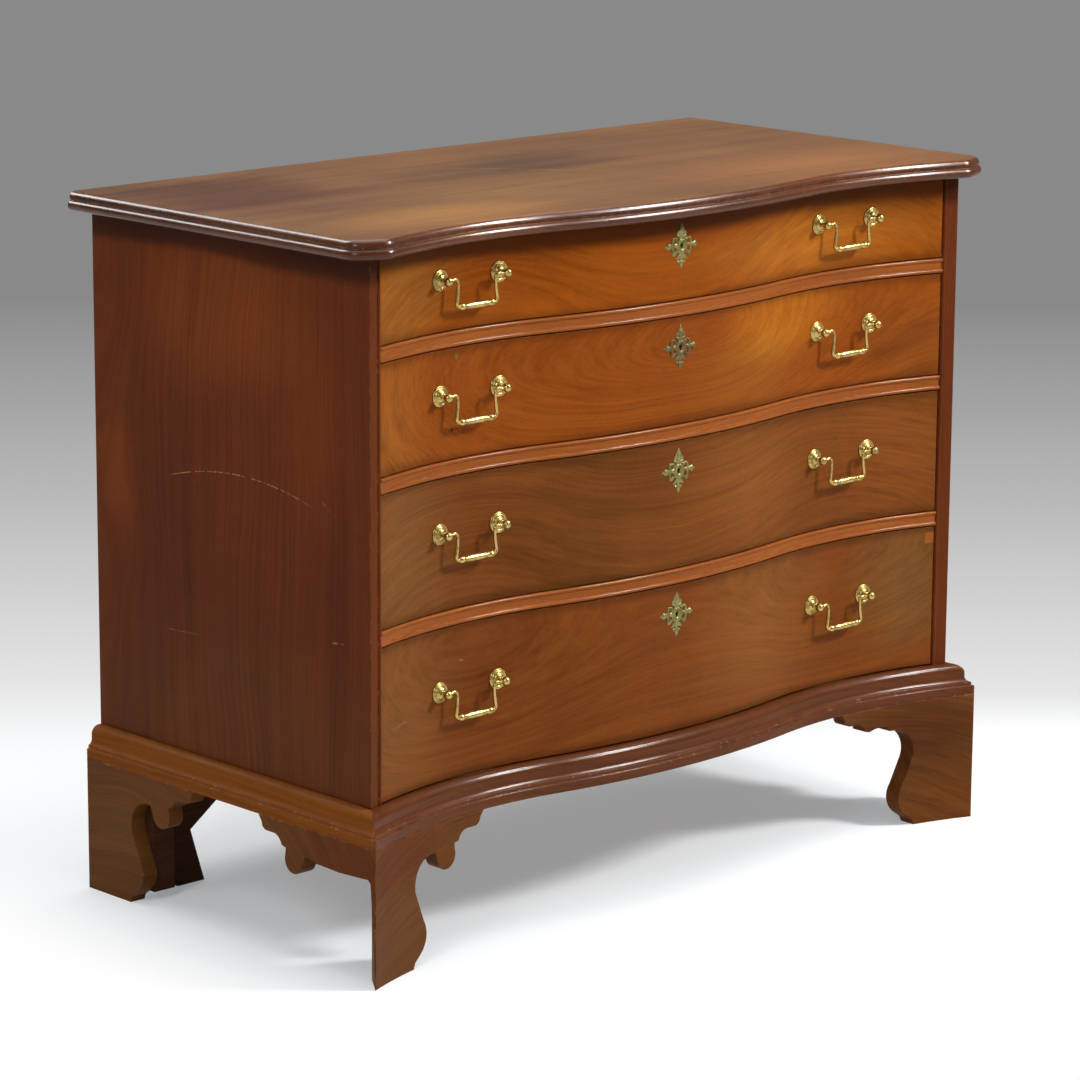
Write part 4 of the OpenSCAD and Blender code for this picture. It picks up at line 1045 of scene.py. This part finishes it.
# Darker strips along edges: how far from an edge they start to fade, where they end, and how dark they are.
# The fronts are darker towards their top and bottom edges; under the top the strip is painted shadow.
FRONT_EDGE_DARK = (0.0, 0.012, 0.45)
UNDER_TOP_SHADOW = 0.72


def painted_top_shadow(start, reach):
    """A painted shadow: the dark strip that the top's overhang casts under its edge."""
    return (Vector(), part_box("side_left")[1]), 2, start, reach, UNDER_TOP_SHADOW


def give(names, material):
    """Gives nodes a finish on their own slots."""
    for name in names:
        if not nodes[name].data.materials:
            nodes[name].data.materials.append(material)
        for slot in nodes[name].material_slots:
            slot.link = "OBJECT"
            slot.material = material


def finish_case():
    """The side boards, the top and the dividers."""
    # The sides get a painted shadow under the top's overhang.
    side = wood("side_mahogany", SIDE_RED, along="Z", seed=3.0, pith=(-0.9, 0.3), rings=48, ring_tone=0.3,
                edge=WORN_ORANGE, borders=[painted_top_shadow(0.022, 0.036)], zones=SIDE_ZONES,
                scratches=SIDE_SCRATCHES)
    give(["side_left", "side_right"], side)
    top = wood("top_mahogany", TOP_BROWN, seed=9.0, pith=(0.3, 0.5), rings=26, edge=WORN_ORANGE,
               worn_r=2.0 * MM, rough=0.4, gloss=0.2, coat=0.26, coat_rough=0.12, rim=TOP_RIM,
               zones=TOP_ZONES, scratches=TOP_SCRATCHES)
    make_top(top)
    divider = wood("divider_mahogany", DIVIDER_BROWN, seed=2.0, edge=PALE_CHIP, coat=0.18, coat_rough=0.12)
    give([name for name in nodes if name.startswith("divider_")], divider)


def finish_base():
    """The base mouldings and the bracket feet."""
    front = wood("base_mahogany", BASE_BROWN, seed=5.0, edge=BASE_WORN, worn_r=2.4 * MM, rough=0.4,
                 gloss=0.04, coat=0.24, coat_rough=0.13)
    side = wood("base_side_mahogany", BASE_SIDE_BROWN, along="Y", seed=6.0, edge=WORN_ORANGE,
                worn_r=2.4 * MM, gloss=0.02)
    make_mouldings(front, side)
    foot = wood("foot_mahogany", FOOT_BROWN, seed=7.0, edge=WORN_ORANGE, worn_r=2.0 * MM, zones=FOOT_ZONES)
    give([name for name in nodes if name.startswith("foot_")], foot)


def finish_fronts():
    """The drawer fronts, each with its own figure, zones and marks."""
    for n, color in FRONTS.items():
        # Each front is darker towards its top and bottom edges.
        borders = [(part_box(f"drawer_{n}_front"), 2, *FRONT_EDGE_DARK)]
        # The first front also gets the painted shadow under the top's overhang.
        if n == 1:
            borders.append(painted_top_shadow(0.015, 0.031))
        front = wood(f"drawer_{n}_mahogany", color, seed=11.0 + 4 * n, rings=42, edge=WORN_ORANGE,
                     borders=borders, zones=FRONT_ZONES[n], scratches=FRONT_MARKS.get(n, ()),
                     blocks=LET_IN.get(n, ()), **FIGURES[n])
        give([f"drawer_{n}_front"], front)


def finish_inside():
    """What shows only with a drawer out, from behind or from below."""
    oak = wood("oak_lining", OAK, along="Y", seed=21.0, rings=70, rough=0.6, pores=0.5)
    pine = wood("pine_inside", PINE, seed=27.0, rings=40, rough=0.65, pores=0.1)
    stained = wood("stained_inside", STAIN, seed=17.0, rough=0.6)
    iron = metal("iron", linear(110, 106, 102), linear(70, 52, 40), 0.5, 0.7)
    for n in FRONTS:
        give([f"drawer_{n}_sides", f"drawer_{n}_back"], oak)
        give([f"drawer_{n}_bottom"], pine)
        give([f"drawer_{n}_lock", f"drawer_{n}_lock_bolt"], iron)
    give(["bottom_board", "back_boards", "top_rails", "drawer_runners", "drawer_stops"], pine)
    give(["rear_braces", "glue_blocks"], stained)


make_camera()
make_lights()
make_world()
make_floor()
finish_case()
finish_base()
finish_fronts()
finish_inside()
make_metalwork()
